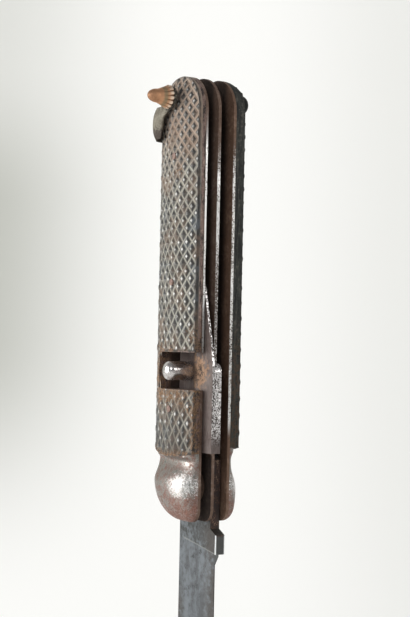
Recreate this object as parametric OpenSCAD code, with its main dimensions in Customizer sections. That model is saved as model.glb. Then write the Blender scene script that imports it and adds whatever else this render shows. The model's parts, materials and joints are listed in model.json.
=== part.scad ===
// Folding knife with a chequered two-scale handle, two open bays, a lock lever and a shackle.
// Frame: the origin lies on the back of the blade spring, level with the blade pivot.
// +Z runs up the handle to the butt, +Y is the back of the handle, and X runs through its thickness.
// The blade is drawn open and points down, and the chequered left side faces -X.

/* [Handle] */
// Width of the handle from its back to its slot side
handle_w = 20; // [19.5:0.1:21]
// Height of the butt above the blade pivot
handle_l = 111.4; // [110.5:0.1:116]
// Depth of the handle below the blade pivot
bolster_drop = 9.2; // [8:0.1:10.5]
// Radius of the bolster end at the back
bolster_back_r = 12; // [9:0.1:12.5]
// Radius of the bolster end at the slot side
bolster_slot_r = 3.5; // [3:0.1:6.5]
// Height of the joint between left scale and bolster above the blade pivot, at mid width
left_joint_h = 8.1; // [7.6:0.1:8.6]
// Height of the joint between right scale and bolster above the blade pivot, at mid width
right_joint_h = 9.6; // [9:0.1:10]
// Radius of the curved joint between a scale and its bolster
joint_r = 45; // [40:1:80]

/* [Liners and bays] */
// Thickness of each outer liner
liner_t = 0.8; // [0.6:0.05:1]
// Thickness of the centre liner
centre_t = 0.9; // [0.7:0.05:1.1]
// Width of the bay that holds the lock lever
lever_bay = 3.2; // [3.1:0.05:3.6]
// Side clearance of the blade in its bay, on each side
blade_side_gap = 0.6; // [0.3:0.05:0.8]
// Thickness of the washer beside the blade pivot in the lever bay
pad_t = 2.2; // [1:0.1:2.5]
// Radius of that washer
pad_r = 4.5; // [4:0.1:5]

/* [Scales] */
// Thickness of the left scale at its edges
left_scale_edge = 2.3; // [2:0.1:3]
// Thickness of the right scale at its edges
right_scale_edge = 3; // [2.4:0.1:3.4]
// Height of the crown along the middle of a scale
scale_crown = 1.8; // [1.2:0.1:2.2]
// Radius of the curve that brings the left scale down to the butt
left_fall_r = 24; // [22:0.5:30]
// Height over which that curve runs, down from the butt
left_fall_h = 9.6; // [8:0.2:10.4]
// Radius of the curve that brings the right scale down to the butt
right_fall_r = 22; // [20.5:0.5:26]
// Height over which that curve runs, down from the butt
right_fall_h = 13; // [12:0.2:13.4]
// Radius of the scale rivets
rivet_r = 0.9; // [0.6:0.05:1.2]
// Height of the lowest scale rivet above the blade pivot
rivet_low_z = 20.8; // [18:0.1:22]
// Distance between the lowest and the highest scale rivet
rivet_span = 68.7; // [64:0.1:72]
// Height of the thumb notch in the left scale
notch_h = 10.1; // [9.5:0.1:11]
// Distance from the bottom of the thumb notch to the back of the handle
notch_floor = 2.8; // [2.6:0.1:3.4]

/* [Bolsters] */
// Height of a bolster over its liner at the bulge
bulge_h = 5.1; // [4.8:0.1:5.4]
// Height of a bolster over its liner at the waist
waist_h = 2.9; // [2.6:0.1:3.4]
// Height of a bolster over its liner where it meets the scale
shoulder_h = 3.8; // [3.5:0.1:4]
// Share by which the right bolster is flatter than the left one
right_flatter = 0.02; // [0:0.02:0.2]
// Depth of the axis around which a bolster is rounded
bolster_axis_in = 14; // [12:0.5:20]
// Height of the waist above the blade pivot
waist_z = 5.8; // [5:0.1:6.6]
// Height of the bulge above the blade pivot
bulge_z = 0.6; // [0:0.1:1]

/* [Springs] */
// Distance of the blade pivot from the back of the handle
pivot_depth = 12; // [11.8:0.05:12.4]
// Depth of both springs at their free ends
spring_t = 2.4; // [2.1:0.05:2.6]
// Depth of both springs where a pin holds them
spring_mid_t = 3.7; // [3.3:0.05:3.8]
// Height of the pinned part of the springs above the blade pivot
spring_pin_z = 62; // [58:0.5:68]
// Radius of the spring pins
spring_pin_r = 0.9; // [0.7:0.05:1]
// Distance between the two spring pins
spring_pin_span = 26; // [20:0.5:28]
// Length over which a spring grows to its pinned depth
spring_taper = 26; // [20:1:30]
// Step of the back face beneath the bow of the shackle
back_relief = 0.2; // [0.1:0.05:0.4]
// Reach of the blade spring below the blade pivot
spring_over = 3; // [2.5:0.1:3.5]
// Radius of the spring block around the shackle pin
spring_block_r = 3.6; // [3:0.1:4]
// Gap between the tang and the blade spring
tang_gap = 0.4; // [0.3:0.05:0.6]

/* [Blade] */
// Thickness of the blade
blade_t = 2.8; // [2.6:0.1:3.2]
// Width of the blade
blade_w = 16.5; // [15.5:0.1:17.5]
// Reach of the blade tip from its pivot
blade_l = 99.5; // [90:0.5:99.5]
// Thickness of the cutting edge
edge_t = 0.3; // [0.2:0.05:0.6]
// Length of the curve from the spine and edge to the tip
tip_l = 26; // [20:0.5:34]
// Distance of the tip from the line through the pivot, towards the spine
tip_rise = 4; // [0:0.1:6]
// Distance of the edge line from the blade pivot
edge_side = 5.9; // [5.4:0.1:6.6]
// Height of the kick over the edge line
kick_h = 2.6; // [1.6:0.1:2.8]
// Length of the flat front of the kick
kick_l = 5; // [4:0.2:6]
// Drop of the plunge line below the blade pivot, at the edge
plunge_drop = 17.4; // [17:0.1:19]
// Rise of the plunge line from the edge to the spine
plunge_rise = 2.6; // [1:0.1:4]
// Length of the nail nick
nick_l = 15; // [10:0.5:18]
// Depth of the nail nick
nick_depth = 0.5; // [0.3:0.05:0.7]
// Radius of the blade pivot pin
blade_pin_r = 1.75; // [1.4:0.05:2.2]

/* [Lock lever] */
// Thickness of the lever plate
lever_plate_t = 0.6; // [0.5:0.05:0.9]
// Thickness of the lever head
lever_head_t = 2.8; // [2.3:0.1:2.9]
// Height of the lever head over the slot side of the handle
lever_proud = 4.5; // [4:0.1:5]
// Height of the lever pivot above the blade pivot
lever_pivot_z = 62; // [60:0.5:66]
// Height of the top of the lever head above the blade pivot
lever_head_top = 33.5; // [33:0.1:35]
// Height of the foot of the lever above the blade pivot
lever_foot_z = 9.6; // [9.4:0.1:10]
// Angle through which the lever is pressed
lever_press = 6; // [4:0.5:6]
// Radius of the lever pivot pin
lever_pin_r = 1.2; // [0.9:0.05:1.5]
// Radius of the thumb stud
stud_r = 2.6; // [2.2:0.1:2.8]
// Length of the thumb stud beyond the lever plate
stud_l = 7.9; // [7:0.1:9]
// Height of the thumb stud above the blade pivot
stud_z = 31.2; // [30.5:0.1:31.8]
// Distance of the thumb stud from the slot side
stud_in = 7.5; // [7:0.1:8.2]

/* [Shackle] */
// Distance of the shackle pin below the butt
shackle_pin_in = 6; // [5.8:0.1:6.6]
// Radius of the shackle pin
shackle_pin_r = 1.5; // [1.2:0.05:1.7]
// Radius of the shackle ears
ear_r = 3.2; // [3:0.1:4]
// Distance between each ear and the scale beside it
ear_stand = 0.8; // [0.7:0.1:1.3]
// Radius of the bends from the cheeks into the bow
bow_corner = 5; // [4.5:0.1:5.5]
// Thickness of the shackle cheeks
cheek_t = 0.9; // [0.8:0.05:1.3]
// Thickness of the bow behind the handle
bow_t = 2.4; // [2:0.1:3]
// Distance of the knee of a cheek below its pin
knee_drop = 4.4; // [4:0.1:5]
// Radius of the knee of a cheek
knee_r = 2.4; // [2:0.1:2.6]
// Radius of the rounded side of the bow
lobe_r = 5; // [4.6:0.1:5.2]
// Distance from the back of the handle to where the deep part of a cheek begins
lobe_in = 3; // [2.4:0.1:4]
// Distance of the foot of the bow below its pin
shackle_drop = 10.9; // [10.4:0.1:12]
// Radius of the rosette at its rim
rosette_r = 3.3; // [2.8:0.1:3.6]
// Height of the rosette
rosette_h = 3.6; // [3:0.1:4.5]
// Radius of the nose cap
nose_r = 1.9; // [1.6:0.1:2.3]
// Length of the nose cap beyond the rosette
nose_l = 2.9; // [2:0.1:4]
// Number of flutes on the rosette
flutes = 14; // [10:1:18]
// Radius of the end knob
knob_r = 3.1; // [2.6:0.1:3.4]
// Height of the end knob
knob_h = 3.2; // [2.8:0.1:4]

/* [Fits] */
// Radial clearance of a moving piece on its pin
run_gap = 0.05; // [0.02:0.01:0.09]
// Gap between moving pieces and what stands beside them
side_gap = 0.25; // [0.2:0.05:0.4]

/* [Hidden] */

// Planes across the thickness, with the blade in the middle of its bay at X = 0
bay_half = blade_t / 2 + blade_side_gap;
centre_x = -bay_half - centre_t;
lever_bay_x = centre_x - lever_bay;
left_x = lever_bay_x - liner_t;
right_x = bay_half + liner_t;

// Heights and depths
butt_r = handle_w / 2;
butt_z = handle_l - butt_r;
mid_y = -handle_w / 2;
pivot_y = -pivot_depth;
pin_z = handle_l - shackle_pin_in;
lever_pivot_y = pivot_y;
spring_pin_y = -spring_mid_t / 2;
spring_pin_zs = [spring_pin_z, spring_pin_z + spring_pin_span];
rivet_zs = [rivet_low_z, rivet_low_z + rivet_span / 2, rivet_low_z + rivet_span];

// Crown of a scale or bolster: an arc over the width of the handle
crown_r = (butt_r * butt_r + scale_crown * scale_crown) / (2 * scale_crown);
left_peak = left_scale_edge + scale_crown;
right_peak = right_scale_edge + scale_crown;

// Blade measures taken from its pivot
tang_r = pivot_depth - spring_t - tang_gap;
spine_side = blade_w - edge_side;
kick_side = edge_side + kick_h;
tang_top = tang_r - 0.6;
tang_front = edge_side - 0.3;
tang_foot = bolster_drop + 2;
kick_top = tang_foot + 1.4;
kick_low = kick_top + kick_l;
kick_end = kick_low + 3.4;
shoulder_z = spring_over + 0.4;
nick_z = -blade_l * 0.7;
nick_r = 1.1;
grind = atan((blade_t - edge_t) / 2 / blade_w);
latch_pin_r = 0.8;
latch_pin_y = -spring_t - tang_gap - latch_pin_r - 0.1;
latch_pin_z = 6.2;
latch_foot_z = latch_pin_z - 2;
latch_lug = -latch_pin_y + latch_pin_r + 0.5;

// Lever outline, measured at rest
lever_eye_r = 4;
lever_head_r = 2.4;
heel_rise = 11;
stud_y = -handle_w + stud_in;
heel_z = lever_foot_z + heel_rise;
lever_swing = lever_pivot_z - lever_foot_z;
heel_y = -spring_t - 0.5 - (lever_pivot_z - heel_z) * sin(lever_press);
foot_y = -latch_lug - 0.6 - lever_swing * sin(lever_press);
notch_z = stud_z - notch_h / 2;

// Shackle planes, just clear of the scales where the ears lie
foot_z = pin_z - shackle_drop;
bow_spare = 0.2;
knee_in = 1.6;
toe_in = 0.4;
ear_low_z = pin_z - ear_r;
// How far a scale with that fall has come down beside the lowest point of an ear
function ear_fall(fall_r, fall_h) =
    let (over = max(0, ear_low_z - handle_l + fall_h)) fall_r - sqrt(fall_r * fall_r - over * over);
left_ear_x = left_x - left_peak + ear_fall(left_fall_r, left_fall_h) - ear_stand;
right_ear_x = right_x + right_peak - ear_fall(right_fall_r, right_fall_h) + ear_stand;
rosette_x = left_ear_x - cheek_t - 0.1;
knob_x = right_ear_x + cheek_t + 0.1;

// Length of a cutter that passes through a whole scale
scale_reach = 9;

arc_n = 120;
pin_n = 64;

// A plate whose outline is drawn as (Y, Z) and whose thickness runs from x0 towards +X
module slab(x0, t) {
    translate([x0, 0, 0]) rotate([90, 0, 90]) linear_extrude(t) children();
}

// A round bar along X from x0 to x1 at height z and depth y
module bar_x(x0, x1, y, z, r, n = pin_n) {
    translate([x0, y, z]) rotate([0, 90, 0]) cylinder(h = x1 - x0, r = r, $fn = n);
}

// Outline of the handle from its rounded butt down to height z0, with square ends below
module handle_outline(z0) {
    translate([-handle_w, z0]) square([handle_w, butt_z - z0]);
    translate([mid_y, butt_z]) circle(r = butt_r, $fn = arc_n);
}

// Outline of the bolster end, from height z1 down, rounded wide at the back and tight at the slot
module bolster_outline(z1) {
    slot_z = bolster_slot_r - bolster_drop;
    back_z = bolster_back_r - bolster_drop;
    translate([-handle_w, back_z]) square([handle_w, z1 - back_z]);
    translate([-handle_w, slot_z]) square([handle_w - bolster_back_r, back_z - slot_z]);
    translate([bolster_slot_r - handle_w, -bolster_drop])
        square([handle_w - bolster_slot_r - bolster_back_r, bolster_slot_r + 0.1]);
    intersection() {
        union() {
            translate([bolster_slot_r - handle_w, slot_z]) circle(r = bolster_slot_r, $fn = arc_n);
            translate([-bolster_back_r, back_z]) circle(r = bolster_back_r, $fn = arc_n);
        }
        translate([-handle_w, -handle_w]) square([handle_w, handle_w + back_z]);
    }
}

module liner_outline() {
    handle_outline(4);
    bolster_outline(5);
}

// Everything above the curved joint whose lowest point is at height z
module above_joint(z) {
    translate([mid_y, z + joint_r]) circle(r = joint_r, $fn = 2 * arc_n);
    translate([-2 * handle_w, z + joint_r]) square([3 * handle_w, handle_l]);
}

// Holes that go through every plate
module common_holes(x0, x1) {
    bar_x(x0, x1, mid_y, pin_z, shackle_pin_r);
    for (z = spring_pin_zs) bar_x(x0, x1, spring_pin_y, z, spring_pin_r);
    bar_x(x0, x1, pivot_y, 0, blade_pin_r);
}

module rivet_holes(x0, x1) {
    for (z = rivet_zs) bar_x(x0, x1, mid_y, z, rivet_r);
}

// The notch that the thumb stud moves in, open at the slot side
module thumb_notch(x0, x1) {
    translate([x0, -handle_w - 1, notch_z])
        cube([x1 - x0, handle_w + 1 - notch_floor, notch_h]);
}

// Side view, as (X, Z), of the curve that brings a scale down to the butt
module butt_fall(peak, fall_r, fall_h) {
    fall_z = handle_l - fall_h;
    translate([-fall_r, 0]) square([fall_r + peak, fall_z]);
    translate([peak - fall_r, fall_z]) circle(r = fall_r, $fn = arc_n);
}

// A crowned scale that stands on the plane X = 0 and rises towards +X
module crowned_scale(edge, joint_z, fall_r, fall_h) {
    peak = edge + scale_crown;
    intersection() {
        union() {
            linear_extrude(butt_z) intersection() {
                translate([0, -handle_w]) square([peak, handle_w]);
                translate([peak - crown_r, mid_y]) circle(r = crown_r, $fn = arc_n);
            }
            translate([0, mid_y, butt_z]) rotate([0, 90, 0]) rotate_extrude($fn = arc_n)
                intersection() {
                    square([butt_r, peak]);
                    translate([0, peak - crown_r]) circle(r = crown_r, $fn = arc_n);
                }
        }
        translate([0, 1, 0]) rotate([90, 0, 0]) linear_extrude(handle_w + 2)
            butt_fall(peak, fall_r, fall_h);
        slab(-1, peak + 2) above_joint(joint_z);
    }
}

module left_scale() color([0.42, 0.38, 0.34]) difference() {
    translate([left_x, 0, 0]) mirror([1, 0, 0])
        crowned_scale(left_scale_edge, left_joint_h, left_fall_r, left_fall_h);
    bar_x(left_x - scale_reach, left_x + 1, mid_y, pin_z, shackle_pin_r);
    rivet_holes(left_x - scale_reach, left_x + 1);
    thumb_notch(left_x - scale_reach, left_x + 1);
}

module right_scale() color([0.22, 0.22, 0.19]) difference() {
    translate([right_x, 0, 0])
        crowned_scale(right_scale_edge, right_joint_h, right_fall_r, right_fall_h);
    bar_x(right_x - 1, right_x + scale_reach, mid_y, pin_z, shackle_pin_r);
    rivet_holes(right_x - 1, right_x + scale_reach);
}

module left_liner() color([0.55, 0.5, 0.46]) difference() {
    slab(left_x, liner_t) liner_outline();
    common_holes(left_x - 1, lever_bay_x + 1);
    rivet_holes(left_x - 1, lever_bay_x + 1);
    bar_x(left_x - 1, lever_bay_x + 1, lever_pivot_y, lever_pivot_z, lever_pin_r);
    thumb_notch(left_x - 1, lever_bay_x + 1);
}

module centre_liner() color([0.45, 0.36, 0.31]) difference() {
    slab(centre_x, centre_t) liner_outline();
    common_holes(centre_x - 1, 0);
    bar_x(centre_x - 1, 0, lever_pivot_y, lever_pivot_z, lever_pin_r);
    bar_x(centre_x - 1, 0, latch_pin_y, latch_pin_z, latch_pin_r + 0.3);
}

module right_liner() color([0.5, 0.42, 0.36]) difference() {
    slab(bay_half, liner_t) liner_outline();
    common_holes(bay_half - 1, right_x + 1);
    rivet_holes(bay_half - 1, right_x + 1);
}

// Height of a bolster along its middle line: waist, bulge level with the pivot, round foot
function bolster_h(z, top) =
    z > waist_z ? waist_h + (shoulder_h - waist_h) * (1 - cos(90 * min(1, (z - waist_z) / (top - waist_z))))
    : z > bulge_z ? waist_h + (bulge_h - waist_h) * (1 + cos(180 * (z - bulge_z) / (waist_z - bulge_z))) / 2
    : bulge_h * sqrt(1 - pow((bulge_z - z) / (bulge_z + bolster_drop * 1.04), 2));

// A bolster that stands on the plane X = 0 and rises towards +X, up to its joint with the scale
module bolster_body(joint_z) {
    top = joint_z + 2;
    steps = 26;
    profile = [for (i = [0:steps]) let (z = -bolster_drop + (top + bolster_drop) * i / steps)
        [bolster_axis_in + bolster_h(z, joint_z), z]];
    difference() {
        intersection() {
            translate([-bolster_axis_in, mid_y, 0]) rotate([0, 0, -80])
                rotate_extrude(angle = 160, $fn = arc_n)
                    polygon(concat([[1, -bolster_drop]], profile, [[1, top]]));
            slab(0, bulge_h + 1) bolster_outline(top);
        }
        slab(-1, bulge_h + 3) above_joint(joint_z);
    }
}

pin_in_bolster = 1.5;

module left_bolster() color([0.55, 0.48, 0.45]) difference() {
    translate([left_x, 0, 0]) mirror([1, 0, 0]) bolster_body(left_joint_h);
    bar_x(left_x - pin_in_bolster, left_x + 1, pivot_y, 0, blade_pin_r);
}

module right_bolster() color([0.52, 0.44, 0.41]) difference() {
    translate([right_x, 0, 0]) scale([1 - right_flatter, 1, 1]) bolster_body(right_joint_h);
    bar_x(right_x - 1, right_x + pin_in_bolster, pivot_y, 0, blade_pin_r);
}

// The washer fills part of the lever bay around the blade pivot
module pivot_pad() color([0.42, 0.36, 0.32]) difference() {
    bar_x(centre_x - pad_t, centre_x, pivot_y, 0, pad_r);
    bar_x(centre_x - pad_t - 1, centre_x + 1, pivot_y, 0, blade_pin_r);
}

// Outline of a spring along the back, from height z0 up to its block around the shackle pin.
// The back steps in beneath the bow of the shackle, so the face below it lies flat on a table.
module spring_outline(z0) {
    rest_z = foot_z - 1;
    thick_z = spring_pin_z - 8;
    polygon([[0, z0], [0, rest_z], [-back_relief, rest_z], [-back_relief, butt_z], [-spring_mid_t, butt_z],
        [-spring_mid_t, thick_z], [-spring_t, thick_z - spring_taper], [-spring_t, z0]]);
    intersection() {
        union() {
            translate([mid_y, pin_z]) circle(r = spring_block_r, $fn = pin_n);
            translate([mid_y, pin_z - spring_block_r]) square([butt_r - back_relief, 2 * spring_block_r]);
            translate([-spring_mid_t, butt_z - 4]) square([spring_mid_t - back_relief, 8]);
        }
        translate([mid_y, butt_z]) circle(r = butt_r, $fn = arc_n);
    }
}

module spring_holes(x0, x1) {
    bar_x(x0, x1, mid_y, pin_z, shackle_pin_r);
    for (z = spring_pin_zs) bar_x(x0, x1, spring_pin_y, z, spring_pin_r);
}

module blade_spring() color([0.4, 0.32, 0.27]) difference() {
    slab(-bay_half, 2 * bay_half) spring_outline(-spring_over);
    spring_holes(-bay_half - 1, bay_half + 1);
}

module latch_spring() color([0.4, 0.32, 0.27]) difference() {
    slab(lever_bay_x, lever_bay) {
        spring_outline(latch_foot_z + 1);
        translate([-latch_lug, latch_foot_z]) square([latch_lug, 4]);
    }
    spring_holes(lever_bay_x - 1, centre_x + 1);
    bar_x(lever_bay_x - 1, centre_x + 1, latch_pin_y, latch_pin_z, latch_pin_r);
}

module latch_pin() color([0.6, 0.58, 0.55])
    bar_x(lever_bay_x, blade_t / 4, latch_pin_y, latch_pin_z, latch_pin_r);

module blade_pivot_pin() color([0.6, 0.58, 0.55])
    bar_x(left_x - pin_in_bolster, right_x + pin_in_bolster, pivot_y, 0, blade_pin_r);

module lever_pivot_pin() color([0.6, 0.58, 0.55])
    bar_x(left_x, -bay_half, lever_pivot_y, lever_pivot_z, lever_pin_r);

module spring_pins() color([0.6, 0.58, 0.55])
    for (z = spring_pin_zs) bar_x(left_x, right_x, spring_pin_y, z, spring_pin_r);

module scale_rivets() color([0.6, 0.42, 0.36]) for (z = rivet_zs) {
    bar_x(left_x - left_peak + 0.1, lever_bay_x, mid_y, z, rivet_r);
    bar_x(bay_half, right_x + right_peak - 0.1, mid_y, z, rivet_r);
}

module shackle_pin() color([0.55, 0.45, 0.38])
    bar_x(rosette_x - rosette_h, knob_x + knob_h / 2, mid_y, pin_z, shackle_pin_r);

// Fluted cone of the rosette, wide at the shackle and narrow at the nose
module rosette() color([0.78, 0.5, 0.3]) difference() {
    translate([rosette_x, mid_y, pin_z]) rotate([0, -90, 0]) union() {
        cylinder(h = 0.6, r = rosette_r, $fn = pin_n);
        translate([0, 0, 0.6]) cylinder(h = rosette_h - 0.6, r1 = rosette_r, r2 = nose_r, $fn = pin_n);
    }
    for (i = [0:flutes - 1])
        translate([rosette_x, mid_y, pin_z]) rotate([i * 360 / flutes, 0, 0])
            translate([0, 0, rosette_r + 0.15]) rotate([0, -90, 0])
                translate([0, 0, -1]) cylinder(h = rosette_h, r = 0.5, $fn = 16);
    bar_x(rosette_x - rosette_h - 1, rosette_x + 1, mid_y, pin_z, shackle_pin_r);
}

// Rounded nose over the end of the shackle pin
module nose_cap() color([0.82, 0.55, 0.33])
    translate([rosette_x - rosette_h, mid_y, pin_z]) rotate([0, -90, 0]) rotate_extrude($fn = pin_n)
        intersection() {
            union() {
                square([nose_r, nose_l - nose_r]);
                translate([0, nose_l - nose_r]) circle(r = nose_r, $fn = pin_n);
            }
            square([nose_r, nose_l]);
        }

// Domed knob that closes the other end of the shackle pin
module end_knob() color([0.1, 0.1, 0.09]) difference() {
    translate([knob_x, mid_y, pin_z]) rotate([0, 90, 0]) rotate_extrude($fn = pin_n)
        intersection() {
            translate([0, knob_h - knob_r]) circle(r = knob_r, $fn = pin_n);
            square([knob_r, knob_h]);
        }
    bar_x(knob_x - 1, knob_x + knob_h / 2, mid_y, pin_z, shackle_pin_r);
}

// Outline of the tang as (Y, Z) from its pivot: a disc cut flat at its top and slot side
module tang_outline() {
    intersection() {
        circle(r = tang_r, $fn = arc_n);
        translate([-tang_front, -tang_r]) square([tang_front + tang_r, tang_r + tang_top]);
    }
}

// Outline of the blade below its tang as (Y, Z) from its pivot, open and pointing down
module blade_outline() {
    curve = [for (i = [0:12]) i / 12];
    spine_curve = [for (u = curve) [spine_side + (tip_rise - spine_side) * pow(u, 2.4),
        -blade_l + tip_l * (1 - u)]];
    edge_curve = [for (u = curve) [tip_rise - (tip_rise + edge_side) * pow(1 - pow(1 - u, 2.2), 0.6),
        -blade_l + tip_l * 1.15 * u]];
    polygon(concat(
        [[-tang_front, -shoulder_z], [spine_side, -shoulder_z]],
        spine_curve,
        [for (i = [1:12]) edge_curve[i]],
        [[-edge_side, -kick_end], [-kick_side, -kick_low], [-kick_side, -kick_top],
         [-tang_front, -tang_foot]]));
}

// Wedge that grinds one face of the blade, from its spine to its edge
module grind_cut() {
    plunge = atan(plunge_rise / blade_w);
    translate([blade_t / 2, spine_side, -plunge_drop + plunge_rise]) rotate([plunge, 0, -grind])
        translate([0, -3 * blade_w, -2 * blade_l]) cube([blade_t, 3 * blade_w, 2 * blade_l]);
}

module blade() color([0.5, 0.52, 0.54]) translate([0, pivot_y, 0]) difference() {
    union() {
        slab(-blade_t / 2, blade_t) tang_outline();
        slab(-blade_t / 2, blade_t) blade_outline();
    }
    grind_cut();
    mirror([1, 0, 0]) grind_cut();
    bar_x(-blade_t, blade_t, 0, 0, blade_pin_r + run_gap);
    translate([-blade_t / 2, spine_side - 2.4, nick_z - nick_l / 2])
        rotate([0, 0, 45]) translate([-nick_depth, -nick_depth, 0])
            cube([2 * nick_depth, 2 * nick_depth, nick_l]);
}

// Outline of the lever plate as (Y, Z)
module lever_outline() {
    translate([lever_pivot_y, lever_pivot_z]) circle(r = lever_eye_r, $fn = pin_n);
    rise_z = lever_pivot_z - 8.8;
    slot_y = -handle_w;
    polygon([[lever_pivot_y - lever_eye_r, lever_pivot_z], [slot_y + 0.4, rise_z],
        [slot_y - lever_proud * 0.42, (rise_z + lever_head_top) / 2 + 1],
        [slot_y - lever_proud * 0.86, lever_head_top + 3.4],
        [slot_y - lever_proud, lever_head_top - 1],
        [slot_y - lever_proud, lever_foot_z], [foot_y, lever_foot_z],
        [heel_y, heel_z], [heel_y, lever_head_top],
        [lever_pivot_y + lever_eye_r, lever_pivot_z]]);
}

// Outline of the thick head along the slot side, with a rounded top corner
module lever_head_outline() {
    face_y = -handle_w - lever_proud;
    back_y = min(foot_y, stud_y) - 0.6;
    translate([face_y, lever_foot_z]) square([back_y - face_y, lever_head_top - lever_head_r - lever_foot_z]);
    translate([face_y + lever_head_r, lever_foot_z])
        square([back_y - face_y - lever_head_r, lever_head_top - lever_foot_z]);
    translate([face_y + lever_head_r, lever_head_top - lever_head_r]) circle(r = lever_head_r, $fn = pin_n);
}

lever_x = lever_bay_x + (lever_bay - lever_head_t) / 2;

module lock_lever() color([0.5, 0.46, 0.43]) difference() {
    union() {
        slab(lever_x, lever_plate_t) lever_outline();
        slab(lever_x, lever_head_t) lever_head_outline();
    }
    bar_x(lever_x - 1, lever_x + lever_head_t + 1, lever_pivot_y, lever_pivot_z, lever_pin_r + run_gap);
}

// Round thumb stud with a domed end, standing on the lever plate
module thumb_stud() color([0.75, 0.73, 0.7])
    translate([lever_x, stud_y, stud_z]) rotate([0, -90, 0]) rotate_extrude($fn = pin_n)
        intersection() {
            dome_r = 5;
            square([stud_r, stud_l]);
            translate([0, stud_l - dome_r]) circle(r = dome_r, $fn = arc_n);
        }

// Side outline of the shackle as (Y, Z): an arm from each ear, and a deep round bow behind the back
module shackle_outline() {
    back_y = side_gap + bow_t + bow_spare;
    hull() {
        translate([mid_y, pin_z]) circle(r = ear_r, $fn = 32);
        translate([back_y - knee_r - knee_in, pin_z - knee_drop]) circle(r = knee_r, $fn = 32);
    }
    intersection() {
        hull() {
            translate([back_y - lobe_r, foot_z + lobe_r]) circle(r = lobe_r, $fn = 64);
            translate([back_y - knee_r - toe_in, foot_z + knee_r]) circle(r = knee_r, $fn = 32);
        }
        translate([-lobe_in, foot_z - 1]) square([lobe_in + back_y + 1, 3 * lobe_r]);
    }
}

// The shackle as seen along Z: two cheeks that bend into the bow
module shackle_plan() {
    left = left_ear_x - cheek_t;
    right = right_ear_x + cheek_t;
    outer_y = side_gap + bow_t - bow_corner;
    inner_r = bow_corner - bow_t + 0.4;
    inner_y = side_gap - inner_r;
    low = mid_y - ear_r - 1;
    turn = [for (i = [0:12]) [cos(i * 7.5), sin(i * 7.5)]];
    polygon(concat(
        [for (p = turn) [right - bow_corner + bow_corner * p[0], outer_y + bow_corner * p[1]]],
        [for (i = [12:-1:0]) [left + bow_corner - bow_corner * turn[i][0], outer_y + bow_corner * turn[i][1]]],
        [[left, low], [left_ear_x, low]],
        [for (p = turn) [left_ear_x + inner_r - inner_r * p[0], inner_y + inner_r * p[1]]],
        [for (i = [12:-1:0]) [right_ear_x - inner_r + inner_r * turn[i][0], inner_y + inner_r * turn[i][1]]],
        [[right_ear_x, low], [right, low]]));
}

module shackle() color([0.45, 0.4, 0.36]) difference() {
    intersection() {
        translate([0, 0, foot_z - 1]) linear_extrude(shackle_drop + ear_r + 2) shackle_plan();
        slab(left_ear_x - 2 * cheek_t, right_ear_x - left_ear_x + 4 * cheek_t) shackle_outline();
    }
    bar_x(left_ear_x - 2, right_ear_x + 2, mid_y, pin_z, shackle_pin_r + run_gap);
}

left_scale();
right_scale();
left_liner();
centre_liner();
right_liner();
left_bolster();
right_bolster();
pivot_pad();
blade_spring();
latch_spring();
latch_pin();
blade_pivot_pin();
lever_pivot_pin();
spring_pins();
scale_rivets();
shackle_pin();
rosette();
nose_cap();
end_knob();
blade();
lock_lever();
thumb_stud();
shackle();
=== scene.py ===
"""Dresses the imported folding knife: chequered scales, domed bolsters, aged steel and a copper rosette.

Lengths are in millimetres inside the classes and become metres where a mesh is made; the studio is in metres.
The frame is the frame of the solids: +Z up the handle, +Y out of its back, the chequered left side at -X.
"""

import json
import logging
import math
import random
from collections.abc import Callable, Iterator, Sequence
from contextlib import contextmanager
from dataclasses import dataclass, field, replace
from enum import Enum

import bmesh
import bpy
from mathutils import Matrix, Vector


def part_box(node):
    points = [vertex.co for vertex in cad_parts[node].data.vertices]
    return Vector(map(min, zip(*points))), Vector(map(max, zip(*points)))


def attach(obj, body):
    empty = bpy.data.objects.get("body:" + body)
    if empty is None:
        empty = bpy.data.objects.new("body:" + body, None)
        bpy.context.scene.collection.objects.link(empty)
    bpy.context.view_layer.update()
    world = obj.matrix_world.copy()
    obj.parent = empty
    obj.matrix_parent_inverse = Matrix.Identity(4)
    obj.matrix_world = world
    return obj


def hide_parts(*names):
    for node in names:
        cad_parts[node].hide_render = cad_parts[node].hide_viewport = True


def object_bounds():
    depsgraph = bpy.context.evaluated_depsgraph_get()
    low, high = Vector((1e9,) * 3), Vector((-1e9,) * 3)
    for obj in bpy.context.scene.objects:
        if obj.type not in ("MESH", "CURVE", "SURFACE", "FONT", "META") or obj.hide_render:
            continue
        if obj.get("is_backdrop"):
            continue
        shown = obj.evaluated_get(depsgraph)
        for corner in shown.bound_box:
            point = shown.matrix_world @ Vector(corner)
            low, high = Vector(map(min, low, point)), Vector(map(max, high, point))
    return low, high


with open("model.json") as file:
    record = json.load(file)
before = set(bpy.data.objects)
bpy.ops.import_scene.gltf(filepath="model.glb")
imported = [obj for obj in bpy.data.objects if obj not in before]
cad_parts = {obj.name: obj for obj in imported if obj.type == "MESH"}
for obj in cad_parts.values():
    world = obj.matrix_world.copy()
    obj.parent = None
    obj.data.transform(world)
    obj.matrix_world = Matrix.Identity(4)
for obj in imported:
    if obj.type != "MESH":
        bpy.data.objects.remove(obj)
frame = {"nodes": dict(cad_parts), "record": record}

LOG = logging.getLogger("knife")
MM = 0.001
QUARTER = math.pi / 2
Colour = tuple[float, float, float]
Point = tuple[float, float, float]
Spot = tuple[Point, Point, Point]
Socket = bpy.types.NodeSocket


class Body(Enum):
    """The bodies of the model that a new piece can ride on."""

    HANDLE = "handle"
    LEVER = "lock_lever"
    SHACKLE = "shackle"


class Side(Enum):
    """The two sides of the handle, as the sign of their outward X."""

    LEFT = -1
    RIGHT = 1


# ---------------------------------------------------------------- node trees and shader maths


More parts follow.
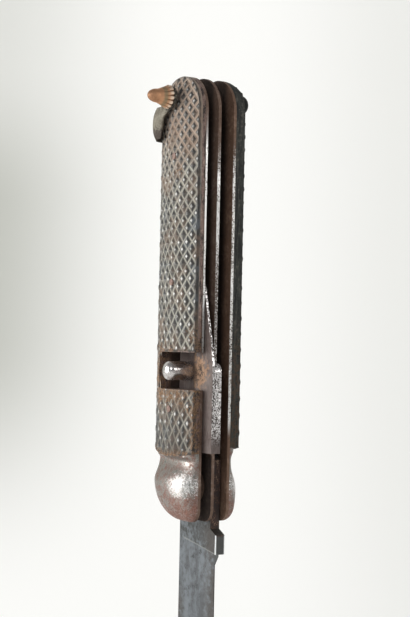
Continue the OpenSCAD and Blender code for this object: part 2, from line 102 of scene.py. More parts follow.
def add_node(tree: bpy.types.NodeTree, kind: str, settings: dict | None = None,
             inputs: dict | None = None) -> bpy.types.Node:
    """Adds a node to a shader or geometry tree, sets it up, then fills its sockets.

    Args:
        tree: the node tree.
        kind: the node's type name.
        settings: attributes, set before the sockets are filled.
        inputs: socket name or number to a value, colour, wire or socket.

    Returns:
        The node.
    """
    node = tree.nodes.new(kind)
    for key, value in (settings or {}).items():
        setattr(node, key, value)
    for key, value in (inputs or {}).items():
        value = value.socket if isinstance(value, Wire) else value
        if isinstance(value, Socket):
            tree.links.new(value, node.inputs[key])
        elif node.inputs[key].type == "RGBA":
            node.inputs[key].default_value = (*value, 1.0)
        else:
            node.inputs[key].default_value = value
    return node


class Wire:
    """A number in a shader that adds Math nodes when it is used in an expression."""

    def __init__(self, bench: "Bench", socket: Socket) -> None:
        """Wraps one output socket of a bench's material."""
        self.bench, self.socket = bench, socket

    def _join(self, operation: str, a: "Wire | float", b: "Wire | float", clamp: bool = False) -> "Wire":
        """Adds one Math node over two values; clamp holds its result between 0 and 1."""
        return self.bench.wire("ShaderNodeMath", {"operation": operation, "use_clamp": clamp}, {0: a, 1: b})

    def __add__(self, other: "Wire | float") -> "Wire":
        """Sum."""
        return self._join("ADD", self, other)

    __radd__ = __add__

    def __sub__(self, other: "Wire | float") -> "Wire":
        """Difference."""
        return self._join("SUBTRACT", self, other)

    def __rsub__(self, other: float) -> "Wire":
        """Difference from a number."""
        return self._join("SUBTRACT", other, self)

    def __mul__(self, other: "Wire | float") -> "Wire":
        """Product."""
        return self._join("MULTIPLY", self, other)

    __rmul__ = __mul__

    def __pow__(self, other: float) -> "Wire":
        """Power."""
        return self._join("POWER", self, other)

    def larger(self, other: "Wire | float") -> "Wire":
        """The larger of two values."""
        return self._join("MAXIMUM", self, other)

    def held(self) -> "Wire":
        """The value held between 0 and 1."""
        return self._join("ADD", self, 0.0, clamp=True)

    def size(self) -> "Wire":
        """The value without its sign."""
        return self._join("ABSOLUTE", self, 0.0)

    def ramp(self, low: float, high: float) -> "Wire":
        """A smooth step from 0 at low to 1 at high; it falls where low is above high."""
        ends = (low, high, 0.0, 1.0) if low < high else (high, low, 1.0, 0.0)
        return self.bench.wire("ShaderNodeMapRange", {"interpolation_type": "SMOOTHSTEP", "clamp": True},
                               {0: self, **{i + 1: end for i, end in enumerate(ends)}})


class Bench:
    """One material and the few calls that build its nodes."""

    def __init__(self, name: str) -> None:
        """Makes an empty node material.

        Args:
            name: name of the material.
        """
        self.material = bpy.data.materials.new(name)
        self.material.use_nodes = True
        self.tree = self.material.node_tree
        self.tree.nodes.clear()
        self._place = self.make("ShaderNodeTexCoord").outputs

    def make(self, kind: str, settings: dict | None = None, inputs: dict | None = None) -> bpy.types.Node:
        """Adds a node to the material, as add_node does."""
        return add_node(self.tree, kind, settings, inputs)

    def wire(self, kind: str, settings: dict, inputs: dict, output: int | str = 0) -> Wire:
        """Adds a node, as add_node does, and wraps one of its outputs."""
        return Wire(self, self.make(kind, settings, inputs).outputs[output])

    def axis(self, name: str) -> Wire:
        """Object coordinate X, Y or Z in millimetres."""
        return self.wire("ShaderNodeSeparateXYZ", {}, {0: self._place["Object"]}, name) * 1000.0

    def facing(self, name: str) -> Wire:
        """Component X, Y or Z of the piece's own surface normal."""
        return self.wire("ShaderNodeSeparateXYZ", {}, {0: self._place["Normal"]}, name)

    def carried(self, name: str) -> Wire:
        """A number carried by the mesh as an attribute."""
        return self.wire("ShaderNodeAttribute", {"attribute_name": name}, {}, "Fac")

    def away(self, spot: "Patch", squash: float = 1.0) -> Wire:
        """Distance from the middle of a patch, as a share of its reach, with Y counted by squash."""
        dy, dz = (self.axis("Y") - spot.y) * squash, self.axis("Z") - spot.z
        return (dy * dy + dz * dz) ** 0.5 * (1.0 / spot.reach)

    def grained(self, scale: Point | None) -> Socket:
        """Object coordinates, stretched along each axis by scale for grain that runs one way."""
        place = self._place["Object"]
        return self.make("ShaderNodeMapping", {}, {0: place, 3: scale}).outputs[0] if scale else place

    def noise(self, grain_mm: float, detail: float = 4.0, rough: float = 0.6,
              scale: Point | None = None) -> Wire:
        """Cloudy noise, mostly near 0.5, in blotches about grain_mm across, stretched by scale."""
        return self.wire("ShaderNodeTexNoise", {}, {"Vector": self.grained(scale), "Scale": 1000.0 / grain_mm,
                                                    "Detail": detail, "Roughness": rough}, "Fac")

    def cells(self, grain_mm: float, scale: Point | None = None) -> Wire:
        """Distance to the nearest of scattered points about grain_mm apart: pits."""
        return self.wire("ShaderNodeTexVoronoi", {}, {
            "Vector": self.grained(scale), "Scale": 1000.0 / grain_mm}, "Distance")

    def blend(self, amount: Wire | float, a: "Colour | Socket", b: "Colour | Socket") -> Socket:
        """Mixes colour a with that share of colour b."""
        return self.make("ShaderNodeMix", {"data_type": "RGBA"}, {0: amount, 6: a, 7: b}).outputs[2]

    def coats(self, ground: "Colour | Socket", *coats: "tuple[Wire | float, Colour | Socket]") -> Socket:
        """Lays coats of colour over a ground.

        Args:
            ground: the lowest colour.
            coats: share and colour of each coat, from the lowest up.

        Returns:
            The colour seen from above.
        """
        for amount, colour in coats:
            ground = self.blend(amount, ground, colour)
        return ground

    def finish(self, colour: Socket, rough: Wire, metal: Wire | float, height: Wire, depth_mm: float,
               specular: float = 0.5) -> bpy.types.Material:
        """Closes the material with a Principled shader.

        Args:
            colour: base colour.
            rough: roughness.
            metal: metallic.
            height: height of the bump, from 0 to 1.
            depth_mm: how high a height of 1 stands.
            specular: specular level, one number for the whole surface.

        Returns:
            The material.
        """
        bump = self.make("ShaderNodeBump", {}, {"Strength": 1.0, "Distance": depth_mm * MM, "Height": height})
        shader = self.make("ShaderNodeBsdfPrincipled", {}, {
            "Base Color": colour, "Roughness": rough.held(),
            "Metallic": metal.held() if isinstance(metal, Wire) else metal,
            "Specular IOR Level": specular, "Normal": bump.outputs[0]})
        self.make("ShaderNodeOutputMaterial", {}, {"Surface": shader.outputs[0]})
        return self.material


# ---------------------------------------------------------------- finishes


@dataclass(frozen=True)
class Rim:
    """How the rim of a thin plate is rubbed bright, from one height to another.

    A lower chip bares more small chips, and bare is how strongly the larger patches show. The worn side lies
    beyond from_x, which holds where it starts and where it is full, and short of to_y.
    """

    colour: Colour
    chip: float
    bare: float
    low: float
    high: float
    from_x: tuple[float, float] = (-1000.0, -999.0)
    to_y: float = 1000.0


@dataclass(frozen=True)
class Patch:
    """A round patch on the side of a piece: its middle, its reach and its colour."""

    y: float
    z: float
    reach: float
    colour: Colour


@dataclass(frozen=True)
class AgedSteel:
    """Old carbon steel: bare metal, brown patina over it, rust in blotches, and a deep tone in pits.

    rust_rise is the height without more rust, the height with all of it, and how much that is.
    shade_and_grime_y is where painted shade, with some dirt, starts on side faces deep in a bay and where it
    is full, and it comes in below shade_and_grime_z too.
    """

    name: str
    bare: Colour
    patina: Colour
    rust: Colour
    deep: Colour
    patina_share: float = 0.5
    rust_share: float = 0.5
    blotch_mm: float = 4.0
    pit_mm: float = 0.5
    pit_depth: float = 0.05
    smooth: float = 0.45
    dull: float = 0.75
    metal: float = 0.3
    grain: Point | None = None
    rust_rise: tuple[float, float, float] = (-999.0, -1000.0, 0.0)
    rim: Rim | None = None
    crust_and_shade: Patch | None = None
    highlight_patch: Patch | None = None
    shade_and_grime_y: tuple[float, float] | None = None
    shade_and_grime_z: float = -1000.0

    def material(self) -> bpy.types.Material:
        """Builds the material: patina and rust by noise, then this steel's own rim, dark patch, painted
        highlight and painted shade with dirt.

        Returns:
            The material.
        """
        b = Bench(self.name)
        z = b.axis("Z")
        wide, speck = b.noise(self.blotch_mm, 3.0), b.noise(0.35, 3.0, 0.7)
        fine = b.noise(self.blotch_mm * 0.22, 5.0, 0.65, self.grain)
        patina = (wide * 0.55 + fine * 0.45 + (self.patina_share - 0.5)).ramp(0.38, 0.62)
        rust_none, rust_full, gain = self.rust_rise
        rust = (wide * 0.35 + fine * 0.4 + speck * 0.25 + z.ramp(rust_none, rust_full) * gain
                + (self.rust_share - 0.5)).ramp(0.5, 0.64)
        pitted = b.cells(self.pit_mm, (1.0, 1.0, 0.7)).ramp(0.4, 0.1) * wide.ramp(0.5, 0.66)
        colour = b.coats(
            self.bare, (patina, self.patina), (speck.ramp(0.58, 0.75) * 0.35, self.bare),
            (rust * 0.9, self.rust), ((rust * speck.ramp(0.45, 0.6)).larger(pitted) * 0.8, self.deep))
        rough = self.smooth + patina * (self.dull - self.smooth) + rust * 0.25 + pitted * 0.15
        metal = self.metal * (1.0 - rust * 0.85) * (1.0 - patina * 0.35)
        rim = self.rim
        if rim:
            edge = (1.0 - b.facing("X").size()).ramp(0.45, 0.8) * z.ramp(rim.low - 6.0, rim.low) * z.ramp(
                rim.high + 12.0, rim.high) * b.axis("Y").ramp(rim.to_y + 1.0, rim.to_y)
            patch = b.noise(7.0, 3.0, 0.6, (1.0, 1.0, 0.4))
            chips = (b.noise(0.4, 2.0) * 0.55 + fine * 0.2 + patch * 0.25).ramp(
                rim.chip - 0.05, rim.chip + 0.05)
            bared = (chips + patch.ramp(0.55, 0.62) * rim.bare).held() * b.axis("X").ramp(*rim.from_x)
            worn = (edge * bared).held()
            colour = b.coats(colour, (edge * (1.0 - bared) * 0.7, self.deep), (worn, rim.colour))
            rough, metal = rough * (1.0 - worn * 0.5), metal * (1.0 - worn) + worn * 0.5
        # A dark patch round a point: heavy rust on the lever; on the shackle it is painted shade round the
        # eye under the rosette.
        if self.crust_and_shade:
            lumps = b.noise(1.3, 4.0, 0.65)
            crust_and_shade = (1.2 - b.away(self.crust_and_shade) + (lumps - 0.5) * 2.4 + (speck - 0.5) * 0.8).ramp(0.3, 0.6)
            colour = b.coats(colour, (crust_and_shade * (0.5 + speck * 0.5), self.crust_and_shade.colour),
                             (crust_and_shade * (lumps * 0.7 + speck * 0.3).ramp(0.51, 0.46) * 0.9, self.deep))
            rough, metal = rough + crust_and_shade * 0.3, metal * (1.0 - crust_and_shade)
        # Painted highlight: a bright patch where a lamp's reflection falls on the bolster, broken up by
        # noise.
        if self.highlight_patch:
            away = b.away(self.highlight_patch, 0.75)
            rubbed = (1.0 - away + (fine - 0.5) * 1.8 + (speck - 0.5) * 2.6).ramp(0.35, 0.7)
            colour = b.blend(rubbed * 0.85, colour, self.highlight_patch.colour)
            rough, metal = rough * (1.0 - rubbed * 0.3), metal * (1.0 - rubbed * 0.3)
        # Painted shade, with some dirt: side faces deep inside a bay are darkened towards the deep colour.
        if self.shade_and_grime_y:
            inner = b.axis("Y").ramp(*self.shade_and_grime_y).larger(z.ramp(self.shade_and_grime_z, self.shade_and_grime_z - 2.0))
            shade_and_grime = inner * b.facing("X").size().ramp(0.6, 0.9) * (0.6 + fine * 0.5)
            colour = b.blend(shade_and_grime, colour, self.deep)
            rough, metal = rough + shade_and_grime * 0.5, metal * (1.0 - shade_and_grime)
        height = fine * 0.35 + speck * 0.3 + rust * 0.25 - pitted * 0.9
        return b.finish(colour, rough, metal, height, self.pit_depth)


@dataclass(frozen=True)
class BladeSteel:
    """Grey blade steel: pitted over the plunge line, cleaner and streaked below, rusty on its tang, with a
    painted shadow under the kick and a painted highlight on its corner.
    """

    name: str
    clean: Colour = (0.108, 0.122, 0.136)
    streak: Colour = (0.05, 0.055, 0.061)
    # pitted also paints the shadow under the kick.
    pitted: Colour = (0.027, 0.029, 0.028)
    stain: Colour = (0.03, 0.023, 0.018)
    rust: Colour = (0.04, 0.02, 0.015)
    rust_deep: Colour = (0.02, 0.012, 0.01)
    orange: Colour = (0.12, 0.055, 0.034)
    pale_rust: Colour = (0.24, 0.16, 0.115)
    plunge: Colour = (0.25, 0.26, 0.25)
    # bright is the painted highlight on the kick's corner.
    bright: Colour = (0.72, 0.74, 0.74)
    # dark is the painted shadow on the kick's front face.
    dark: Colour = (0.06, 0.062, 0.06)
    spine_y: float = -1.4
    edge_y: float = -17.9
    kick_y: float = -20.5
    half_t: float = 1.4
    plunge_z: float = -14.8
    plunge_rise: float = 2.6
    tang_z: float = -12.8
    kick_z: float = -18.0
    brown_z: tuple[float, float] = (-26.0, -34.0)

    def material(self) -> bpy.types.Material:
        """Builds the material from where each spot lies on the blade.

        Returns:
            The material.
        """
        b = Bench(self.name)
        x, y, z = b.axis("X"), b.axis("Y"), b.axis("Z")
        ahead, edge, kick = y * -1.0, -self.edge_y, -self.kick_y
        wide, fine, speck = b.noise(8.0, 3.0), b.noise(1.5, 5.0, 0.65), b.noise(0.4, 3.0, 0.7)
        drawn = b.noise(3.5, 4.0, 0.6, (1.0, 1.0, 0.22))
        over = z - self.plunge_z + (self.spine_y - y) * (self.plunge_rise / (self.spine_y - self.edge_y))
        upper = over.ramp(-0.15, 0.15)
        near_spine = y.ramp(self.spine_y - 4.0, self.spine_y) * z.ramp(*self.brown_z)
        browned = ((ahead.ramp(edge - 7.0, edge) + near_spine)
                   * (wide * 0.6 + fine * 0.6).ramp(0.45, 0.64)).held()
        pits = (speck * 0.5 + fine * 0.5 + upper * 0.02).ramp(0.545, 0.62)
        # Painted shadow under the kick's point: the edge just below the kick is darkened.
        under = ahead.ramp(edge - 0.7, edge + 0.2) * z.ramp(self.kick_z + 0.1, self.kick_z - 0.2) * z.ramp(
            self.kick_z - 4.0, self.kick_z - 2.4)
        line = over.size().ramp(0.5, 0.1) * y.ramp(self.spine_y - 0.6, self.spine_y - 3.4)
        front = (b.facing("Y") * -1.0).ramp(0.45, 0.75)
        tang = front * z.ramp(self.tang_z - 0.5, self.tang_z + 0.2)
        tang_rust = b.coats(self.rust, (speck.ramp(0.52, 0.6), self.orange),
                            ((speck * 0.5 + fine * 0.5).ramp(0.56, 0.6), self.pale_rust),
                            (fine.ramp(0.56, 0.44) * 0.8, self.rust_deep))
        # Painted highlight: a bright line along the kick's corner.
        kick_corner_highlight = ahead.ramp(kick - 0.5, kick - 0.2) * x.size().ramp(
            self.half_t - 0.3, self.half_t - 0.12) * z.ramp(self.kick_z, self.kick_z + 0.4) * z.ramp(
                self.tang_z + 0.4, self.tang_z)
        colour = b.coats(
            self.clean,
            ((drawn * 0.55 + fine * 0.3 + wide * 0.15).ramp(0.42, 0.58), self.streak),
            (upper * (0.1 + fine.ramp(0.4, 0.6) * 0.8), self.pitted),
            (browned * 0.92, self.stain), (pits * 0.8, self.pitted), (under * 0.85, self.pitted),
            (line * (0.1 + fine * 0.7), self.plunge),
            # Painted shadow on the kick's front face.
            ((front * ahead.ramp(edge + 0.4, edge + 1.0) * 0.85).held(), self.dark),
            (tang, tang_rust), (kick_corner_highlight, self.bright))
        rough = 0.36 + fine * 0.2 + pits * 0.15 + tang * 0.3 - kick_corner_highlight * 0.1
        metal = 0.25 * (1.0 - tang) * (1.0 - browned * 0.5)
        height = fine * 0.3 + speck * 0.3 * (0.5 + upper) - pits * 0.7 + line * 0.4
        return b.finish(colour, rough, metal, height, 0.05)


@dataclass(frozen=True)
class ChequeredHide:
    """Hard moulded or pressed scale with cut chequering: dark flanks with painted shade on the side turned
    from the light, tips worn and painted bright as a highlight, and dust in the grooves.
    """

    name: str
    dust: Colour
    dust_warm: Colour
    flank: Colour
    deep: Colour
    tip: Colour
    wall: Colour
    stain: Colour
    rusty: Colour = (0.30, 0.18, 0.10)
    tint: float = 0.3
    tint_warm: Colour = (0.20, 0.125, 0.08)
    tint_cold: Colour = (0.13, 0.155, 0.18)
    warm_z: tuple[float, float] = (78.0, 104.0)
    upper_z: tuple[float, float] = (66.0, 98.0)
    lower_z: tuple[float, float] = (30.0, 6.0)
    cold_z: tuple[float, float] = (92.0, 70.0)

    def material(self) -> bpy.types.Material:
        """Builds the material from the height that each diamond carries and from where it lies.

        Returns:
            The material.
        """
        b = Bench(self.name)
        lift, z = b.carried("lift"), b.axis("Z")
        wide, fine, speck = b.noise(9.0, 3.0), b.noise(1.1, 4.0), b.noise(0.3, 3.0, 0.7)
        patch, tint = b.noise(3.2, 3.0), b.noise(7.0, 4.0, 0.65)
        drawn = b.noise(1.4, 4.0, 0.65, (2.0, 1.0, 0.3))
        warm = (wide * 0.8 + z.ramp(*self.warm_z) * 0.5 - 0.1).ramp(0.3, 0.75)
        upper, lower = z.ramp(*self.upper_z), z.ramp(*self.lower_z)
        groove = (lift + (fine - 0.5) * 0.3 - upper * 0.16).ramp(0.38, 0.08) * (0.55 + patch * 0.8)
        # Painted highlight: the diamond tips are painted near-white where the light catches them, patchy like
        # wear.
        worn = (lift + (speck - 0.5) * 0.3).ramp(0.72, 0.98) * patch.ramp(0.4, 0.58) * (1.0 - upper * 0.55)
        # Painted shade: flanks turned towards -Y and +Z, away from the light, are darkened.
        shade = (b.facing("Y") * -0.8 + b.facing("Z") * 0.6).ramp(0.02, 0.3)
        wall = b.carried("wall").ramp(0.4, 0.6)
        rusty = b.carried("stain") * (fine * 0.8 + speck * 0.3).ramp(0.48, 0.62)
        dust = b.blend(warm, self.dust, self.dust_warm)
        side = b.coats(self.deep, ((drawn * 0.7 + speck * 0.3).ramp(0.4, 0.56), self.wall),
                       ((fine * 0.6 + drawn * 0.4).ramp(0.53, 0.62) * 0.5, self.dust_warm))
        colour = b.coats(
            self.flank,
            (fine.ramp(0.35, 0.65) * 0.7, b.blend(0.4, self.flank, dust)),
            (shade * 0.9, self.deep),
            (groove.held() * (0.55 + fine * 0.6), dust),
            (tint.ramp(0.5, 0.66) * self.tint, self.tint_warm),
            (tint.ramp(0.48, 0.34) * z.ramp(*self.cold_z) * self.tint, self.tint_cold),
            (worn * 0.9, self.tip),
            (lower * (0.15 + wide * 0.5), self.deep),
            (wall, side),
            (rusty.held() * 0.85, b.blend(speck.ramp(0.45, 0.6), self.stain, self.rusty)))
        rough = 0.62 - worn * 0.3 + groove * 0.25 - wall * 0.12 + rusty * 0.2
        return b.finish(colour, rough, 0.0, fine * 0.5 + speck * 0.5, 0.05, 0.45)


@dataclass(frozen=True)
class WornCopper:
    """Copper or gilding metal rubbed bright on its ridges, with a painted highlight there, and brown in its
    grooves.
    """

    name: str
    bright: Colour
    brown: Colour
    ring: Colour
    ridge: Colour

    def material(self) -> bpy.types.Material:
        """Builds the material, brown in the flutes by the carried depth.

        Returns:
            The material.
        """
        b = Bench(self.name)
        fine = b.noise(1.2, 4.0)
        depth, share = b.carried("depth"), b.carried("share")
        shade = (depth * 0.8 + fine * 0.5).ramp(0.3, 0.85)
        ring = (share.ramp(0.38, 0.5) * share.ramp(0.8, 0.62) * (0.4 + fine * 0.8)).held()
        # Rubbed bright ridges at the rim, painted near-white as a highlight.
        ridge = share.ramp(0.4, 0.12) * depth.ramp(0.5, 0.1) * share.ramp(0.005, 0.02)
        colour = b.coats(self.bright, (shade, self.brown), (ring, self.ring), (ridge * 0.8, self.ridge))
        return b.finish(colour, 0.5 + shade * 0.2 + ring * 0.1 - ridge * 0.2, 0.85 - shade * 0.25, fine, 0.06)


@dataclass(frozen=True)
class Blackening:
    """Near-black metal with a soft sheen."""

    name: str
    black: Colour
    grey: Colour

    def material(self) -> bpy.types.Material:
        """Builds the material.

        Returns:
            The material.
        """
        b = Bench(self.name)
        fine = b.noise(0.9, 4.0)
        colour = b.blend(fine.ramp(0.4, 0.75), self.black, self.grey)
        return b.finish(colour, 0.42 + fine * 0.2, 0.0, fine, 0.05, 0.15)


# The liners' side faces deep in the bays are darkened by painted shade, with some dirt.
LINER = AgedSteel(
    "liner_steel", (0.25, 0.18, 0.145), (0.13, 0.08, 0.057), (0.12, 0.05, 0.03), (0.016, 0.01, 0.008),
    patina_share=0.6, rust_share=0.42, pit_mm=0.6,
    rim=Rim((0.50, 0.495, 0.485), chip=0.5, bare=0.4, low=22.0, high=84.0),
    shade_and_grime_y=(-18.6, -16.0), shade_and_grime_z=9.5)

FINISHES = {
    # tip is the near-white of the painted highlight on the diamond tips.
    "left_scale": ChequeredHide(
        "left_scale_hide", dust=(0.40, 0.385, 0.335), dust_warm=(0.38, 0.295, 0.235),
        flank=(0.07, 0.067, 0.062), deep=(0.014, 0.012, 0.011), tip=(0.70, 0.69, 0.66),
        wall=(0.20, 0.13, 0.11), stain=(0.13, 0.075, 0.045), tint=0.42),
    "right_scale": ChequeredHide(
        "right_scale_hide", dust=(0.12, 0.125, 0.108), dust_warm=(0.11, 0.10, 0.082),
        flank=(0.020, 0.021, 0.018), deep=(0.004, 0.004, 0.0035), tip=(0.12, 0.125, 0.11),
        wall=(0.028, 0.029, 0.024), stain=(0.05, 0.034, 0.024), rusty=(0.07, 0.045, 0.03), tint=0.1),
    "liner_steel": LINER,
    "left_liner": replace(
        LINER, name="left_liner_steel", shade_and_grime_y=None,
        rim=Rim((0.62, 0.615, 0.60), chip=0.44, bare=0.6, low=40.0, high=90.0, from_x=(-6.75, -6.6),
                to_y=-19.0)),
    "right_liner": replace(
        LINER, name="right_liner_steel", bare=(0.27, 0.17, 0.12), patina=(0.14, 0.08, 0.052),
        rust=(0.13, 0.05, 0.027), rim=Rim((0.66, 0.655, 0.64), chip=0.485, bare=0.6, low=19.0, high=84.0),
        shade_and_grime_y=(-17.6, -14.6), shade_and_grime_z=-1000.0),
    # The bolster's bright patch is a painted highlight.
    "bolster_steel": AgedSteel(
        "bolster_steel", (0.27, 0.265, 0.245), (0.17, 0.125, 0.108), (0.24, 0.11, 0.08), (0.08, 0.04, 0.031),
        rust_share=0.525, blotch_mm=1.7, pit_depth=0.06, smooth=0.27, dull=0.42, metal=0.95,
        rust_rise=(0.0, -10.0, 0.13), highlight_patch=Patch(-16.8, 0.8, 4.6, (0.74, 0.73, 0.72))),
    "spring_steel": AgedSteel(
        "spring_steel", (0.14, 0.11, 0.09), (0.08, 0.052, 0.04), (0.10, 0.045, 0.028), (0.03, 0.018, 0.014),
        patina_share=0.6, blotch_mm=5.0, pit_mm=0.7, pit_depth=0.06, metal=0.5),
    "pin_steel": AgedSteel(
        "pin_steel", (0.30, 0.28, 0.26), (0.18, 0.13, 0.11), (0.16, 0.08, 0.05), (0.06, 0.04, 0.03),
        rust_share=0.4, blotch_mm=2.0, pit_mm=0.4, pit_depth=0.03, smooth=0.35, dull=0.6, metal=0.8),
    "rivet_metal": AgedSteel(
        "rivet_metal", (0.26, 0.17, 0.14), (0.16, 0.10, 0.08), (0.15, 0.075, 0.055), (0.07, 0.04, 0.032),
        blotch_mm=1.2, pit_mm=0.3, pit_depth=0.03, smooth=0.4, dull=0.6, metal=0.4),
    # ridge is the near-white of the rubbed ridges with their painted highlight.
    "copper": WornCopper(
        "worn_copper", bright=(0.52, 0.28, 0.155), brown=(0.17, 0.09, 0.05), ring=(0.27, 0.21, 0.13),
        ridge=(0.80, 0.68, 0.55)),
    "blackened": Blackening("blackened", black=(0.004, 0.004, 0.0035), grey=(0.014, 0.014, 0.012)),
    "blade_steel": BladeSteel("blade_steel"),
    # The lever's face deep in its bay and behind the notch is darkened by painted shade, with some dirt.
    "lever_steel": AgedSteel(
        "lever_steel", (0.125, 0.10, 0.092), (0.07, 0.047, 0.041), (0.12, 0.058, 0.04), (0.03, 0.02, 0.017),
        rust_share=0.36, smooth=0.4, dull=0.65, metal=0.4, grain=(1.0, 1.0, 0.3),
        rim=Rim((0.80, 0.78, 0.77), chip=0.49, bare=0.4, low=17.0, high=70.0),
        crust_and_shade=Patch(-17.6, 31.0, 5.4, (0.34, 0.20, 0.115)), shade_and_grime_y=(-16.6, -14.6)),
    "stud_steel": AgedSteel(
        "stud_steel", (0.60, 0.58, 0.57), (0.24, 0.19, 0.18), (0.20, 0.11, 0.085), (0.06, 0.04, 0.032),
        patina_share=0.44, rust_share=0.33, blotch_mm=2.4, pit_depth=0.03, smooth=0.18, dull=0.34, metal=1.0),
    # Its dark patch round the pin is painted shade under the rosette.
    "shackle_iron": AgedSteel(
        "shackle_iron", (0.18, 0.16, 0.122), (0.10, 0.087, 0.062), (0.045, 0.031, 0.024),
        (0.04, 0.031, 0.026), rust_share=0.42, blotch_mm=2.6, pit_mm=0.6, pit_depth=0.06,
        smooth=0.5, metal=0.2,
        rust_rise=(99.5, 95.0, 0.34), crust_and_shade=Patch(-10.4, 105.4, 5.0, (0.02, 0.019, 0.016))),
}


# ---------------------------------------------------------------- mesh helpers


def mesh_object(name: str, points: Sequence[Point], faces: Sequence[Sequence[int]],
                marks: dict[str, Sequence[float]] | None = None) -> bpy.types.Object:
    """Makes an object at the origin and links it to the scene.

    Args:
        name: name of the object and its mesh.
        points: corners in millimetres.
        faces: corner numbers of each face, turned outwards.
        marks: number attributes, one value a corner.

    Returns:
        The new object.
    """
    mesh = bpy.data.meshes.new(name)
    mesh.from_pydata([tuple(c * MM for c in p) for p in points], [], [tuple(f) for f in faces])
    for key, values in (marks or {}).items():
        mesh.attributes.new(key, "FLOAT", "POINT").data.foreach_set("value", list(values))
    mesh.validate()
    made = bpy.data.objects.new(name, mesh)
    bpy.context.scene.collection.objects.link(made)
    return made


@contextmanager
def editing(piece: bpy.types.Object) -> Iterator[bmesh.types.BMesh]:
    """Opens the mesh of a piece for editing and writes it back.

    Args:
        piece: the mesh object.

    Yields:
        The mesh in its form for editing.
    """
    form = bmesh.new()
    form.from_mesh(piece.data)
    yield form
    form.to_mesh(piece.data)
    form.free()


def soften(piece: bpy.types.Object, angle: float) -> None:
    """Shades a piece smooth but for its sharp edges.

    Args:
        piece: the mesh object.
        angle: edges that turn by more degrees than this stay sharp.
    """
    with editing(piece) as form:
        for face in form.faces:
            face.smooth = True
        for edge in form.edges:
            edge.smooth = len(edge.link_faces) == 2 and edge.calc_face_angle(0.0) < math.radians(angle)


def seal(piece: bpy.types.Object, merge: float) -> None:
    """Closes the seams of a piece and turns its faces outwards.

    Args:
        piece: the mesh object.
        merge: distance in metres within which corners become one.
    """
    with editing(piece) as form:
        bmesh.ops.remove_doubles(form, verts=form.verts, dist=merge)
        bmesh.ops.dissolve_degenerate(form, edges=form.edges, dist=merge / 2)
        bmesh.ops.recalc_face_normals(form, faces=form.faces)


def baked(piece: bpy.types.Object) -> bpy.types.Mesh:
    """Takes what the modifiers of a piece make of it, and removes them.

    Args:
        piece: the mesh object.

    Returns:
        The result as a plain mesh.
    """
    bpy.context.view_layer.update()
    graph = bpy.context.evaluated_depsgraph_get()
    mesh = bpy.data.meshes.new_from_object(piece.evaluated_get(graph))
    piece.modifiers.clear()
    return mesh


def skin(rows: Sequence[Sequence[int]], closed: bool = False) -> list[tuple[int, ...]]:
    """Joins each row of corners to the next by faces.

    Args:
        rows: corner numbers, as many in each row; a row may also be a single corner.
        closed: whether the rows are rings.

    Returns:
        Four-sided faces, or triangles at a single corner.
    """
    count = max(map(len, rows))
    faces = []
    for a, b in zip(rows, rows[1:]):
        for i in range(count if closed else count - 1):
            j = (i + 1) % count
            face = (a[i % len(a)], a[j % len(a)], b[j % len(b)], b[i % len(b)])
            faces.append(tuple(dict.fromkeys(face)))
    return faces


def border(grid: Sequence[Sequence[int]]) -> list[int]:
    """Corner numbers once round the edge of a grid of columns."""
    return [*(c[0] for c in grid), *grid[-1][1:], *(c[-1] for c in grid[-2::-1]), *grid[0][-2:0:-1]]


def sagitta(radius: float, off: float) -> float:
    """How far a circle of that radius has fallen away at a distance from its top."""
    return radius - math.sqrt(max(0.0, radius ** 2 - off ** 2))


def held(value: float) -> float:
    """A number held between 0 and 1."""
    return min(1.0, max(0.0, value))


def settle(piece: bpy.types.Object, body: Body, node: str, material: bpy.types.Material) -> None:
    """Gives a new piece its body and its finish, and hides the CAD node that it stands for.

    Args:
        piece: the finished mesh object.
        body: body that it rides on.
        node: CAD node that it replaces.
        material: its finish.
    """
    if not piece.data.materials:
        piece.data.materials.append(material)
    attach(piece, body.value)
    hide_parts(node)
    LOG.info("%s: %d faces, stands for %s", piece.name, len(piece.data.polygons), node)


@dataclass
class Seated:
    """A new piece in place of one solid, with the seat, middle and reach of that solid in millimetres."""

    node: str
    side: Side

    def __post_init__(self) -> None:
        """Reads the solid's box."""
        low, high = ([c / MM for c in corner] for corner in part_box(self.node))
        self.out = self.side.value
        self.seat = (high if self.side is Side.LEFT else low)[0]
        self.peak = high[0] - low[0]
        self.mid, self.mid_z = ((a + b) / 2 for a, b in zip(low[1:], high[1:]))
        self.half, self.half_z = ((b - a) / 2 for a, b in zip(low[1:], high[1:]))
        self.bottom = low[2]

    def point(self, y: float, z: float, high: float) -> Point:
        """A point at that height over the seat."""
        return (self.seat + self.out * high, y, z)

    def mesh(self, name: str, points: Sequence[Point], faces: Sequence[tuple[int, ...]],
             marks: dict[str, Sequence[float]] | None = None) -> bpy.types.Object:
        """Makes the object from faces that point outwards on the right side, turned round for the left."""
        return mesh_object(name, points, [face[::self.out] for face in faces], marks)


# ---------------------------------------------------------------- scales


